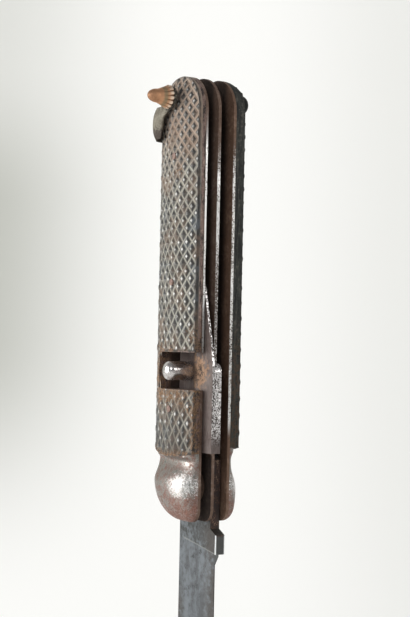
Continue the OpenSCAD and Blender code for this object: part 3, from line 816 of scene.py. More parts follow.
@dataclass
class DiamondCutter:
    """Lays worn four-sided diamonds on points by Geometry Nodes."""

    top_share: float = 0.1
    seed: int = 7

    def diamond(self) -> bpy.types.Object:
        """Makes a diamond one unit high and two units across, open below.

        Returns:
            The diamond, with its height as the attribute lift.
        """
        rings = ((1.0, -0.12, 0.0), (0.93, 0.0, 0.0), (0.80, 0.30, 0.3), (self.top_share + 0.16, 0.90, 0.85),
                 (self.top_share, 1.0, 1.0))
        points = [(x * reach, y * reach, high) for reach, high, _ in rings
                  for x, y in ((1, 0), (0, 1), (-1, 0), (0, -1))] + [(0.0, 0.0, 1.03)]
        lift = [mark for _, _, mark in rings for _ in range(4)] + [1.0]
        rows = [range(4 * k, 4 * k + 4) for k in range(len(rings))] + [[4 * len(rings)]]
        unit = [tuple(c / MM for c in p) for p in points]
        return mesh_object("diamond", unit, skin(rows, closed=True), {"lift": lift})

    def tree(self, material: bpy.types.Material) -> bpy.types.NodeTree:
        """Builds the node group: a diamond on each point, turned to the surface, of the point's own size.

        Args:
            material: finish set at the end.

        Returns:
            The geometry node tree with the inputs Diamond, Height, Wear and Seed.
        """
        tree = bpy.data.node_groups.new("cut_diamonds", "GeometryNodeTree")
        for label, kind in (("Geometry", "Geometry"), ("Diamond", "Object"), ("Height", "Float"),
                            ("Wear", "Float"), ("Seed", "Int")):
            tree.interface.new_socket(label, in_out="INPUT", socket_type="NodeSocket" + kind)
        tree.interface.new_socket("Geometry", in_out="OUTPUT", socket_type="NodeSocketGeometry")

        def add(kind: str, settings: dict, inputs: dict, output: int | str = 0) -> Socket:
            """Adds a node, as add_node does, and returns one of its outputs."""
            return add_node(tree, kind, settings, inputs).outputs[output]

        start = add_node(tree, "NodeGroupInput").outputs
        shape = add("GeometryNodeObjectInfo", {}, {"Object": start["Diamond"]}, "Geometry")
        size, turn = (add("GeometryNodeInputNamedAttribute", {"data_type": "FLOAT_VECTOR"}, {"Name": name},
                          "Attribute") for name in ("size", "turn"))
        chance = add("FunctionNodeRandomValue", {"data_type": "FLOAT"}, {"Seed": start["Seed"]}, 1)
        loss = add("ShaderNodeMath", {"operation": "MULTIPLY"}, {0: chance, 1: start["Wear"]})
        high = add("ShaderNodeMath", {"operation": "SUBTRACT"}, {0: start["Height"], 1: loss})
        lift = add("ShaderNodeCombineXYZ", {}, {0: 1.0, 1: 1.0, 2: high})
        scale = add("ShaderNodeVectorMath", {"operation": "MULTIPLY"}, {0: size, 1: lift})
        euler = add("FunctionNodeEulerToRotation", {}, {0: turn})
        placed = add("GeometryNodeInstanceOnPoints", {}, {
            "Points": start["Geometry"], "Instance": shape, "Rotation": euler, "Scale": scale})
        real = add("GeometryNodeRealizeInstances", {}, {0: placed})
        painted = add("GeometryNodeSetMaterial", {}, {"Geometry": real, "Material": material})
        add_node(tree, "NodeGroupOutput", {}, {0: painted})
        return tree

    def lay(self, name: str, spots: Sequence[Spot], high: float, wear: float,
            material: bpy.types.Material) -> bpy.types.Mesh:
        """Lays the diamonds.

        Args:
            name: name of the mesh.
            spots: place in millimetres, turn in radians and size in millimetres of each diamond.
            high: height factor of a fresh diamond.
            wear: largest loss of that factor.
            material: finish.

        Returns:
            The diamonds as one plain mesh.
        """
        seeds = mesh_object(name, [s[0] for s in spots], [])
        for key, column, factor in (("turn", 1, 1.0), ("size", 2, MM)):
            layer = seeds.data.attributes.new(key, "FLOAT_VECTOR", "POINT")
            layer.data.foreach_set("vector", [c * factor for s in spots for c in s[column]])
        cutter, tree = self.diamond(), self.tree(material)
        modifier = seeds.modifiers.new("diamonds", "NODES")
        modifier.node_group = tree
        values = {"Diamond": cutter, "Height": high, "Wear": wear, "Seed": self.seed}
        for item in tree.interface.items_tree:
            if item.in_out == "INPUT" and item.name in values:
                modifier[item.identifier] = values[item.name]
        mesh = baked(seeds)
        for spare in (seeds, cutter):
            bpy.data.objects.remove(spare)
        return mesh


@dataclass
class ChequeredScale(Seated):
    """One scale: a crowned plate with rounded butt and curved foot, covered with cut diamonds.

    A notch is given by its lower end, its upper end and its floor, a stain by y, z, reach and strength.
    A diamond is laid while its middle is less than the over_ size past a border; over_floor is how far it
    keeps clear of the notch's floor instead.
    """

    joint_z: float
    crown: float = 1.8
    joint_r: float = 45.0
    butt_r: float = 10.0
    fall_r: float = 24.0
    fall_h: float = 9.6
    thin: float = 0.06
    groove: float = 0.62
    groove_least: float = 0.05
    border_groove: float = 0.35
    border_reach: float = 0.9
    border_lift: float = 0.55
    lift_reach: float = 1.5
    columns: int = 46
    rows: int = 150
    across: float = 3.2
    tall: float = 1.66
    tall_gain: float = 0.74
    tall_bend: float = 1.2
    start_above: float = 0.6
    end_below: float = 3.0
    jitter: float = 0.09
    uneven: tuple[float, float] = (0.94, 1.04)
    over_side: float = 0.8
    over_foot: float = 0.9
    over_head: float = 0.7
    over_floor: float = 0.4
    flat_half: float = 9.6
    step: float = 0.4
    proud: float = 0.02
    wear: float = 0.22
    seed: int = 11
    notch: tuple[float, float, float] | None = None
    cutter: tuple[float, float] = (12.0, 14.0)
    wall_lift: float = 0.6
    stains: list[tuple[float, float, float, float]] = field(default_factory=list)
    seam_reach: float = 1.8
    seam_rust: float = 1.3
    seam_top: float = 48.0
    seam_fade: float = 20.0

    def __post_init__(self) -> None:
        """Reads where the plate lies from its solid, and the butt's height from the centre liner."""
        super().__post_init__()
        self.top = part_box("centre_liner")[1].z / MM
        self.butt_z = self.top - self.butt_r
        self.crown_r = (self.butt_r ** 2 + self.crown ** 2) / (2 * self.crown)
        self.cut = self.notch or (0.0, 0.0, -1000.0)

    def off(self, y: float, z: float) -> float:
        """Distance of (y, z) from the middle line of the plate, or from the middle of its round butt."""
        return abs(y - self.mid) if z < self.butt_z else math.hypot(y - self.mid, z - self.butt_z)

    def within(self, y: float, half: float) -> float:
        """The nearest y that is no further than half from the middle line."""
        return min(max(y, self.mid - half), self.mid + half)

    def high(self, y: float, z: float) -> float:
        """Height of the finished surface over the liner at (y, z), as the solid has it."""
        fall = sagitta(self.fall_r, min(max(0.0, z - self.top + self.fall_h), self.fall_r))
        return max(self.thin, self.peak - max(fall, sagitta(self.crown_r, min(self.off(y, z), self.butt_r))))

    def foot(self, y: float) -> float:
        """Height of the curved joint with the bolster at y."""
        return self.joint_z + sagitta(self.joint_r, y - self.mid)

    def head(self, y: float) -> float:
        """Height of the round butt at y."""
        return self.butt_z + math.sqrt(max(0.0, self.butt_r ** 2 - (y - self.mid) ** 2))

    def stain(self, y: float, z: float) -> float:
        """Works out the rust that has run onto the scale from its notch, its joint and its slot side.

        Args:
            y: place across the scale.
            z: place along it.

        Returns:
            The strength of the rust.
        """
        spots = [strength * (1.0 - math.hypot(y - at_y, z - at_z) / reach)
                 for at_y, at_z, reach, strength in self.stains]
        seam = 1.0 - abs(z - self.foot(y)) / self.seam_reach
        front = (1.0 - (y + 2 * self.butt_r) / self.seam_reach) * held((self.seam_top - z) / self.seam_fade)
        return max(0.0, *spots, self.seam_rust * seam, self.seam_rust * front)

    def inset(self, y: float, z: float) -> float:
        """Distance from (y, z) to the nearest border of the chequering."""
        low, high, floor = self.cut
        return max(0.0, min(self.butt_r - self.off(y, z), z - self.foot(y),
                            max(y - floor, low - z, z - high, 0.0)))

    def plate(self) -> bpy.types.Object:
        """Builds the closed plate under the diamonds, its face lowered to the bottom of the grooves.

        Returns:
            The plate, with the marks lift, wall and stain.
        """
        turns = [math.pi * i / self.columns for i in range(self.columns + 1)]
        spots = [(y, self.foot(y) + (self.head(y) - self.foot(y)) * k / self.rows)
                 for y in (self.mid - self.butt_r * math.cos(a) for a in turns) for k in range(self.rows + 1)]
        inset = [self.inset(*spot) for spot in spots]
        points, lift = [], []
        for spot, near in zip(spots, inset):
            share = self.border_groove + (1 - self.border_groove) * min(1.0, near / self.border_reach)
            points.append(self.point(*spot, max(self.groove_least, self.high(*spot) - self.groove * share)))
            lift.append(self.border_lift * (1 - min(1.0, near / self.lift_reach)))
        points += [self.point(*spot, 0.0) for spot in spots]
        face = [[n + k for k in range(self.rows + 1)] for n in range(0, len(spots), self.rows + 1)]
        back = [[n + len(spots) for n in column] for column in face]
        edge = [len(points) + n for n in range(len(border(face)))]
        points += [points[n] for n in border(face)]
        walls = len(points) - len(spots)
        faces = skin(list(zip(*face))) + skin(back) + skin([border(back), edge], closed=True)
        return self.mesh(self.node + "_plate", points, faces, {
            "lift": lift + [0.0] * walls, "wall": [0.0] * len(spots) + [1.0] * walls,
            "stain": [self.stain(y, z) for _, y, z in points]})

    def spots(self) -> list[Spot]:
        """Places the diamonds in rows that grow coarser towards the foot.

        Returns:
            Place in millimetres, turn in radians and size in millimetres of each diamond.
        """
        found = []
        z, row, step = self.top + self.start_above, 0, self.step
        half = self.across / 2
        count = int(self.butt_r / half) + 2
        rng = random.Random(self.seed)
        while z > self.joint_z - self.end_below:
            share = held((self.top - z) / (self.top - self.joint_z))
            tall = self.tall + self.tall_gain * share ** self.tall_bend
            for k in range(-count, count + 1):
                y = self.mid + (k * 2 + (row % 2)) * half + rng.uniform(-self.jitter, self.jitter)
                if not self.covered(y, z):
                    continue
                rise = self.high(self.within(y, self.flat_half), z)
                slope_y = (self.high(y + step, z) - self.high(y - step, z)) / (2 * step)
                slope_z = (self.high(y, z + step) - self.high(y, z - step)) / (2 * step)
                normal = Vector((self.out, -slope_y, -slope_z)).normalized()
                along = (Vector((0, 1, 0)) - normal * normal.y).normalized()
                turn = Matrix((along, normal.cross(along), normal)).transposed().to_euler("XYZ")
                grow = rng.uniform(*self.uneven)
                found.append((self.point(y, z, max(self.groove_least, rise - self.groove)), tuple(turn),
                              (half * grow, tall * grow, self.groove)))
            z -= tall
            row += 1
        return found

    def covered(self, y: float, z: float) -> bool:
        """Tells whether a diamond is on the plate: over its foot, under its head and off its notch.

        Args:
            y: place across the scale.
            z: place along it.

        Returns:
            Whether the diamond is laid.
        """
        low, high, floor = self.cut
        in_notch = y < floor + self.over_floor and low + self.over_head < z < high - self.over_head
        on_foot = z > self.foot(self.within(y, self.butt_r)) - self.over_foot
        on_head = z < self.butt_z or self.off(y, z) < self.butt_r + self.over_head
        return abs(y - self.mid) < self.butt_r + self.over_side and on_foot and on_head and not in_notch

    def trim(self, mesh: bpy.types.Mesh) -> None:
        """Pulls what sticks out over the outline, the joint or the notch back to it.

        Args:
            mesh: the diamonds.
        """
        low, high, floor = self.cut
        for v in mesh.vertices:
            x, y, z = (c / MM for c in v.co)
            y = self.within(y, self.butt_r)
            off = self.off(y, z)
            if z > self.butt_z and off > self.butt_r:
                y = self.mid + (y - self.mid) * self.butt_r / off
                z = self.butt_z + (z - self.butt_z) * self.butt_r / off
            z = max(z, self.foot(y))
            if y < floor and low < z < high:
                z = low if z - low < high - z else high
            lifted = min((x - self.seat) * self.out, self.high(y, z) + self.proud)
            v.co = tuple(c * MM for c in self.point(y, z, lifted))

    def build(self, material: bpy.types.Material) -> None:
        """Builds the scale as one piece in place of its solid, with its finish.

        Args:
            material: its finish.
        """
        base = self.plate()
        if self.notch:
            self.cut_notch(base)
        gems = DiamondCutter().lay(self.node + "_diamonds", self.spots(), 1.0, self.wear, material)
        self.trim(gems)
        with editing(base) as form:
            lift, wall, stain = (form.verts.layers.float[key] for key in ("lift", "wall", "stain"))
            fresh = []
            for v, mark in zip(gems.vertices, gems.attributes["lift"].data):
                made = form.verts.new(v.co)
                made[lift], made[wall] = mark.value, 0.0
                made[stain] = self.stain(v.co.y / MM, v.co.z / MM)
                fresh.append(made)
            for poly in gems.polygons:
                form.faces.new([fresh[i] for i in poly.vertices])
            form.normal_update()
        base.name = base.data.name = self.node + "_chequered"
        settle(base, Body.HANDLE, self.node, material)

    def cut_notch(self, base: bpy.types.Object) -> None:
        """Cuts the thumb notch through the plate and marks its walls.

        Args:
            base: the closed plate.
        """
        low, high, floor = self.cut
        reach_x, reach_y = self.cutter
        corners = [(x, y, z) for x in (self.seat - reach_x, self.seat + reach_x)
                   for y in (self.mid - reach_y, floor) for z in (low, high)]
        box = mesh_object("notch", corners, [(0, 1, 3, 2), (4, 6, 7, 5), (0, 4, 5, 1), (2, 3, 7, 6),
                                             (0, 2, 6, 4), (1, 5, 7, 3)])
        cut = base.modifiers.new("notch", "BOOLEAN")
        cut.operation, cut.solver, cut.object = "DIFFERENCE", "EXACT", box
        base.data = baked(base)
        bpy.data.objects.remove(box)
        near = 0.01
        layers = {key: base.data.attributes[key].data for key in ("wall", "stain", "lift")}
        for i, v in enumerate(base.data.vertices):
            y, z = v.co.y / MM, v.co.z / MM
            within = y < floor + near and low - near < z < high + near
            if within and min(abs(y - floor), abs(z - low), abs(z - high)) < near:
                layers["wall"][i].value, layers["lift"][i].value = 1.0, self.wall_lift
            layers["stain"][i].value = self.stain(y, z)


# ---------------------------------------------------------------- bolsters


@dataclass
class DomedBolster(Seated):
    """A smooth bolster: a shoulder under the scale, a waist, a swelling at the pivot and a round foot."""

    joint_z: float
    joint_r: float = 45.0
    waist_h: float = 2.3
    bulge_h: float = 5.1
    shoulder_h: float = 3.6
    waist_z: float = 7.2
    bulge_z: float = 0.8
    back_r: float = 12.0
    slot_r: float = 3.5
    foot_power: float = 2.2
    fullness: float = 2.5
    columns: int = 64
    rows: int = 60
    merge_m: float = 0.00001
    sharp: float = 50.0

    def ridge(self, z: float) -> float:
        """Works out the height of the bolster's middle line.

        Args:
            z: place along the handle.

        Returns:
            The height over the liner.
        """
        if z > self.waist_z:
            share = min(1.0, (z - self.waist_z) / (self.joint_z - self.waist_z))
            return self.waist_h + (self.shoulder_h - self.waist_h) * (1 - math.cos(QUARTER * share))
        if z > self.bulge_z:
            share = (z - self.bulge_z) / (self.waist_z - self.bulge_z)
            return self.waist_h + (self.bulge_h - self.waist_h) * (1 + math.cos(math.pi * share)) / 2
        share = (self.bulge_z - z) / (self.bulge_z - self.bottom)
        return self.bulge_h * math.sqrt(max(0.0, 1 - share ** self.foot_power))

    def ends(self, z: float) -> tuple[float, float]:
        """Slot side and back of the outline at z."""
        low, high = (sagitta(r, max(0.0, self.bottom + r - z)) for r in (self.slot_r, self.back_r))
        return self.mid - self.half + low, self.mid + self.half - high

    def build(self, material: bpy.types.Material) -> None:
        """Builds the bolster in place of its solid.

        Args:
            material: its finish.
        """
        points: list[Point] = []
        for k in range(self.rows + 1):
            share = 1 - math.cos(QUARTER * k / self.rows)
            for i in range(self.columns + 1):
                t = -math.cos(math.pi * i / self.columns)
                top = self.joint_z + sagitta(self.joint_r, t * self.half)
                z = self.bottom + (top - self.bottom) * share
                low, high = self.ends(z)
                swell = max(0.0, 1 - abs(t) ** self.fullness) ** 0.5
                points.append(self.point((low + high) / 2 + (high - low) / 2 * t, z,
                                         min(self.peak, self.ridge(z) * swell)))
        points += [(self.seat, y, z) for _, y, z in points]
        wide = self.columns + 1
        lines = [range(n, n + wide) for n in range(0, len(points), wide)]
        front, flat = lines[:self.rows + 1], lines[self.rows + 1:]
        faces = skin(front) + skin(list(zip(*flat))) + skin([front[-1], flat[-1]])
        piece = self.mesh(self.node + "_domed", points, faces)
        seal(piece, self.merge_m)
        soften(piece, self.sharp)
        settle(piece, Body.HANDLE, self.node, material)


# ---------------------------------------------------------------- turned pieces


@dataclass
class Turned(Seated):
    """A piece turned about an axis along X in place of its solid, from its seat outwards."""

    name: str
    slot: str
    body: Body = Body.HANDLE
    steps: int = 48
    sharp: float = 50.0
    depth_gain: float = 6.0

    def dome(self, start: float, radius: float, steps: int) -> list[tuple[float, float]]:
        """Rounds the end of a profile off by a quarter ellipse.

        Args:
            start: height at which the dome starts.
            radius: radius there.
            steps: parts of the quarter.

        Returns:
            (distance from the seat, radius) pairs up to the tip.
        """
        turns = [QUARTER * k / steps for k in range(1, steps)]
        arc = [(start + (self.peak - start) * math.sin(a), radius * math.cos(a)) for a in turns]
        return arc + [(self.peak, 0.0)]

    def turn(self, profile: Sequence[tuple[float, float]], material: bpy.types.Material,
             wave: Callable[[float, float], float] | None = None,
             brown: tuple[float, float] | None = None) -> None:
        """Turns the profile and settles the piece; flutes or brown mark it with depth and share for copper.

        Args:
            profile: (distance from the seat, radius) pairs; a radius of 0 closes the end.
            material: its finish.
            wave: radius factor at (angle, share of the profile), for flutes.
            brown: depth at the seat and its gain to the tip, in place of the depth of flutes.
        """
        points: list[Point] = []
        depth: list[float] = []
        rings: list[range] = []
        for k, (along, radius) in enumerate(profile):
            count = self.steps if radius > 0.0 else 1
            rings.append(range(len(points), len(points) + count))
            for i in range(count):
                angle = 2 * math.pi * i / self.steps
                factor = wave(angle, k / (len(profile) - 1)) if wave and radius else 1.0
                points.append(self.point(self.mid + radius * factor * math.cos(angle),
                                         self.mid_z + radius * factor * math.sin(angle), along))
                depth.append(max(0.0, 1.0 - factor) * self.depth_gain)
        share = [(p[0] - self.seat) * self.out / self.peak for p in points]
        marks = {"depth": depth, "share": share} if wave else None
        if brown:
            marks = {"depth": [brown[0] + brown[1] * s for s in share], "share": [1.0] * len(points)}
        piece = self.mesh(self.name, points, skin(rings, closed=True), marks)
        soften(piece, self.sharp)
        settle(piece, self.body, self.node, material)


@dataclass
class TurnedFittings:
    """The fluted rosette with its nose, the knob at the other end of their pin, and the stud on the lever."""

    flutes: int = 14
    flute_share: float = 0.15
    flute_fade: float = 1.25
    flute_bend: float = 0.7
    groove_bend: float = 0.7
    rim_t: float = 0.55
    cone_bend: float = 0.8
    knob_rim: float = 0.9
    stud_dome: float = 1.7

    def wave(self, angle: float, share: float) -> float:
        """Radius factor of the rosette's flutes, deep at the rim and gone at the nose."""
        left = 0.0 if share < 0.01 else max(0.0, 1 - self.flute_fade * share) ** self.flute_bend
        return 1 - self.flute_share * left * (1 - abs(math.sin(angle * self.flutes / 2)) ** self.groove_bend)

    def rosette(self, material: bpy.types.Material) -> None:
        """Builds the fluted cone, scalloped at its rim.

        Args:
            material: copper finish.
        """
        cone = Turned("rosette", Side.LEFT, "rosette_fluted", "copper", steps=self.flutes * 8, sharp=55.0)
        tall, rim, neck = cone.peak, cone.half, Seated("nose_cap", Side.LEFT).half
        profile = [(0.0, 0.0), (0.0, rim * 0.9), (0.15, rim), (self.rim_t, rim)]
        profile += [(self.rim_t + (tall - self.rim_t) * share, rim + (neck - rim) * share ** self.cone_bend)
                    for share in (k / 14 for k in range(1, 15))]
        cone.turn(profile + [(tall, 0.0)], material, self.wave)

    def nose(self, material: bpy.types.Material) -> None:
        """Builds the rounded nose over the pin's end.

        Args:
            material: copper finish.
        """
        nose = Turned("nose_cap", Side.LEFT, "nose_rounded", "copper", steps=40, sharp=60.0)
        profile = [(0.0, 0.0), (0.0, nose.half)]
        for share in (k / 16 for k in range(1, 16)):
            profile.append((nose.peak * math.sin(QUARTER * share),
                            nose.half * (1 - 0.12 * share) * math.cos(QUARTER * share ** 1.15)))
        nose.turn(profile + [(nose.peak, 0.0)], material, brown=(0.1, 0.4))

    def knob(self, material: bpy.types.Material) -> None:
        """Builds the domed knob with a turned rim.

        Args:
            material: blackened finish.
        """
        knob = Turned("end_knob", Side.RIGHT, "knob_domed", "blackened", sharp=40.0)
        profile = [(along, knob.half * share) for along, share in (
            (0.0, 0.0), (0.0, 0.8), (0.15, 0.96), (0.5, 1.0), (0.8, 0.97), (self.knob_rim, 0.9))]
        knob.turn(profile + knob.dome(self.knob_rim, knob.half * 0.9, 10), material)

    def stud(self, material: bpy.types.Material) -> None:
        """Builds the thumb stud, rubbed round at its end.

        Args:
            material: its finish.
        """
        stud = Turned("thumb_stud", Side.LEFT, "thumb_stud_domed", "stud_steel", Body.LEVER)
        straight = stud.peak - self.stud_dome
        profile = [(0.0, 0.0)] + [(straight * share, stud.half_z) for share in (0.0, 0.5, 1.0)]
        stud.turn(profile + stud.dome(straight, stud.half_z, 14), material)


# ---------------------------------------------------------------- shackle


@dataclass
class Station:
    """One cross-section of the shackle: its outer and inner plan point, lower and upper edge, and dome."""

    out: tuple[float, float]
    within: tuple[float, float]
    low: float
    high: float
    dome: float


@dataclass
class ForgedShackle:
    """The folded shackle: an eye at each end of the pin, an arm to the back, and a deep domed bow behind it.

    The lower and upper edge of an arm leave the eye at a distance from the pin, at a height, with a fall.
    """

    pin_y: float = -10.0
    pin_z: float = 105.4
    ear_r: float = 3.0
    lower_edge: tuple[float, float, float] = (-1.2, -2.75, 0.40)
    upper_edge: tuple[float, float, float] = (1.3, 2.7, 0.62)
    cheek_t: float = 0.9
    bow_t: float = 2.4
    corner: float = 5.0
    inner_r: float = 3.0
    deep_from: float = -6.6
    deep_to: float = -4.2
    foot_gap: float = 0.25
    bow_top: float = 103.6
    eye_dome: float = 0.25
    arm_dome: float = 0.6
    dome: float = 1.5
    dome_most: float = 0.8
    dome_power: float = 2.4
    edge_round: float = 0.12
    edge_power: int = 12
    inner_round: float = 0.06
    inner_power: int = 6
    inner_high: float = 0.97
    outer: int = 12
    inner: int = 6
    eye_steps: int = 8
    arm_steps: int = 16
    bend_steps: int = 14
    bow_steps: int = 6
    dome_steps: int = 6
    merge_m: float = 0.000004
    sharp: float = 50.0

    def __post_init__(self) -> None:
        """Reads where the shackle lies from its solid."""
        low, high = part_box("shackle")
        self.left, self.right = low.x / MM, high.x / MM
        self.back, self.foot = high.y / MM, low.z / MM

    def edge(self, y: float, line: tuple[float, float, float]) -> float:
        """Follows one edge of an arm, round at the eye and straight after it.

        Args:
            y: place along the arm.
            line: where the straight part starts, its height there and its fall.

        Returns:
            The height of the edge.
        """
        start, height, fall = line
        along = y - self.pin_y
        if along >= start:
            return self.pin_z + height - (along - start) * fall
        return self.pin_z + math.copysign(math.sqrt(max(0.0, self.ear_r ** 2 - along ** 2)), height)

    def arm(self, y: float) -> Station:
        """Cuts the left arm, which grows deep before the bend at the back.

        Args:
            y: place along the arm.

        Returns:
            Its section there.
        """
        share = held((y - self.deep_from) / (self.deep_to - self.deep_from))
        ease = share * share * (3 - 2 * share)
        low, high = self.edge(y, self.lower_edge), self.edge(y, self.upper_edge)
        return Station((self.left, y), (self.left + self.cheek_t, y),
                       low + (self.foot + self.foot_gap - low) * ease, high + (self.bow_top - high) * ease,
                       self.eye_dome + (self.arm_dome - self.eye_dome) * share)

    def stations(self) -> list[Station]:
        """Cuts the shackle from the left eye to the middle of the bow.

        Returns:
            The sections.
        """
        ease_y = self.back - self.corner
        steps = [self.pin_y - self.ear_r * math.cos(QUARTER * k / self.eye_steps)
                 for k in range(self.eye_steps + 1)]
        steps += [self.pin_y + (ease_y - self.pin_y) * k / self.arm_steps
                  for k in range(1, self.arm_steps + 1)]
        found = [self.arm(y) for y in steps]
        for k in range(1, self.bend_steps + 1):
            a = QUARTER * k / self.bend_steps
            out = (self.left + self.corner * (1 - math.cos(a)), ease_y + self.corner * math.sin(a))
            within = (self.left + self.cheek_t + self.inner_r * (1 - math.cos(a)),
                      self.back - self.bow_t - self.inner_r * (1 - math.sin(a)))
            grown = min(1.0, k / self.dome_steps)
            found.append(Station(out, within, self.foot, self.bow_top,
                                 self.arm_dome + (self.dome - self.arm_dome) * grown))
        start = self.left + self.corner
        for k in range(1, self.bow_steps + 1):
            x = start + ((self.left + self.right) / 2 - start) * k / self.bow_steps
            out, within = (x, self.back), (x, self.back - self.bow_t)
            found.append(Station(out, within, self.foot, self.bow_top, self.dome))
        return found

    def section(self, station: Station) -> list[Point]:
        """The ring of one section: a domed outer face and a flatter inner face.

        Args:
            station: the section.

        Returns:
            The ring's points.
        """
        out, within = station.out, station.within
        middle, half = (station.low + station.high) / 2, (station.high - station.low) / 2
        thick = math.hypot(out[0] - within[0], out[1] - within[1])
        ring = []
        for k in range(self.outer + 1):
            t = -math.cos(math.pi * k / self.outer)
            share = min(self.dome_most, station.dome / thick * abs(t) ** self.dome_power
                        + self.edge_round * abs(t) ** self.edge_power)
            ring.append((out[0] + (within[0] - out[0]) * share, out[1] + (within[1] - out[1]) * share,
                         middle + half * t))
        for k in range(self.inner + 1):
            t = math.cos(math.pi * k / self.inner)
            share = self.inner_round * abs(t) ** self.inner_power
            ring.append((within[0] + (out[0] - within[0]) * share, within[1] + (out[1] - within[1]) * share,
                         middle + half * t * self.inner_high))
        return ring

    def build(self, material: bpy.types.Material) -> None:
        """Sweeps the sections from eye to eye.

        Args:
            material: its finish.
        """
        half = self.stations()
        turn = self.left + self.right
        other = [replace(s, out=(turn - s.out[0], s.out[1]), within=(turn - s.within[0], s.within[1]))
                 for s in reversed(half[:-1])]
        sections = [self.section(s) for s in half + other]
        size = len(sections[0])
        rings = [range(k * size, (k + 1) * size) for k in range(len(sections))]
        faces = skin(rings, closed=True) + [tuple(rings[0]), tuple(reversed(rings[-1]))]
        piece = mesh_object("shackle_forged", [p for ring in sections for p in ring], faces)
        seal(piece, self.merge_m)
        soften(piece, self.sharp)
        settle(piece, Body.SHACKLE, "shackle", material)


# ---------------------------------------------------------------- solids that keep their shape


@dataclass
class Metalwork:
    """The solids that stay as they are and get their finish by their slot."""

    def dress(self, materials: dict[str, bpy.types.Material]) -> None:
        """Gives each shown solid the finish of its slot, or its own where it has one.

        Args:
            materials: finish of each slot, and of a node that differs from its slot.
        """
        slots = {s["node"]: s["material_slot"] for s in frame["record"]["subparts"]}
        for name, solid in frame["nodes"].items():
            solid.data.materials.clear()
            solid.data.materials.append(materials.get(name, materials[slots[name]]))
            LOG.info("%s: %s", name, slots[name])


# ---------------------------------------------------------------- studio


@dataclass(frozen=True)
class Lamp:
    """A soft square lamp, in metres and watts, that looks at the middle of the handle from a direction."""

    name: str
    direction: Point
    distance: float
    size: float
    power: float
    colour: Colour

    def hang(self, aim: Vector) -> None:
        """Hangs the lamp.

        Args:
            aim: what it looks at.
        """
        data = bpy.data.lights.new(self.name, "AREA")
        data.shape, data.size, data.energy, data.color = "SQUARE", self.size, self.power, self.colour
        lamp = bpy.data.objects.new(self.name, data)
        bpy.context.scene.collection.objects.link(lamp)
        lamp.location = aim + Vector(self.direction).normalized() * self.distance
        lamp.rotation_euler = (aim - lamp.location).to_track_quat("-Z", "Y").to_euler()


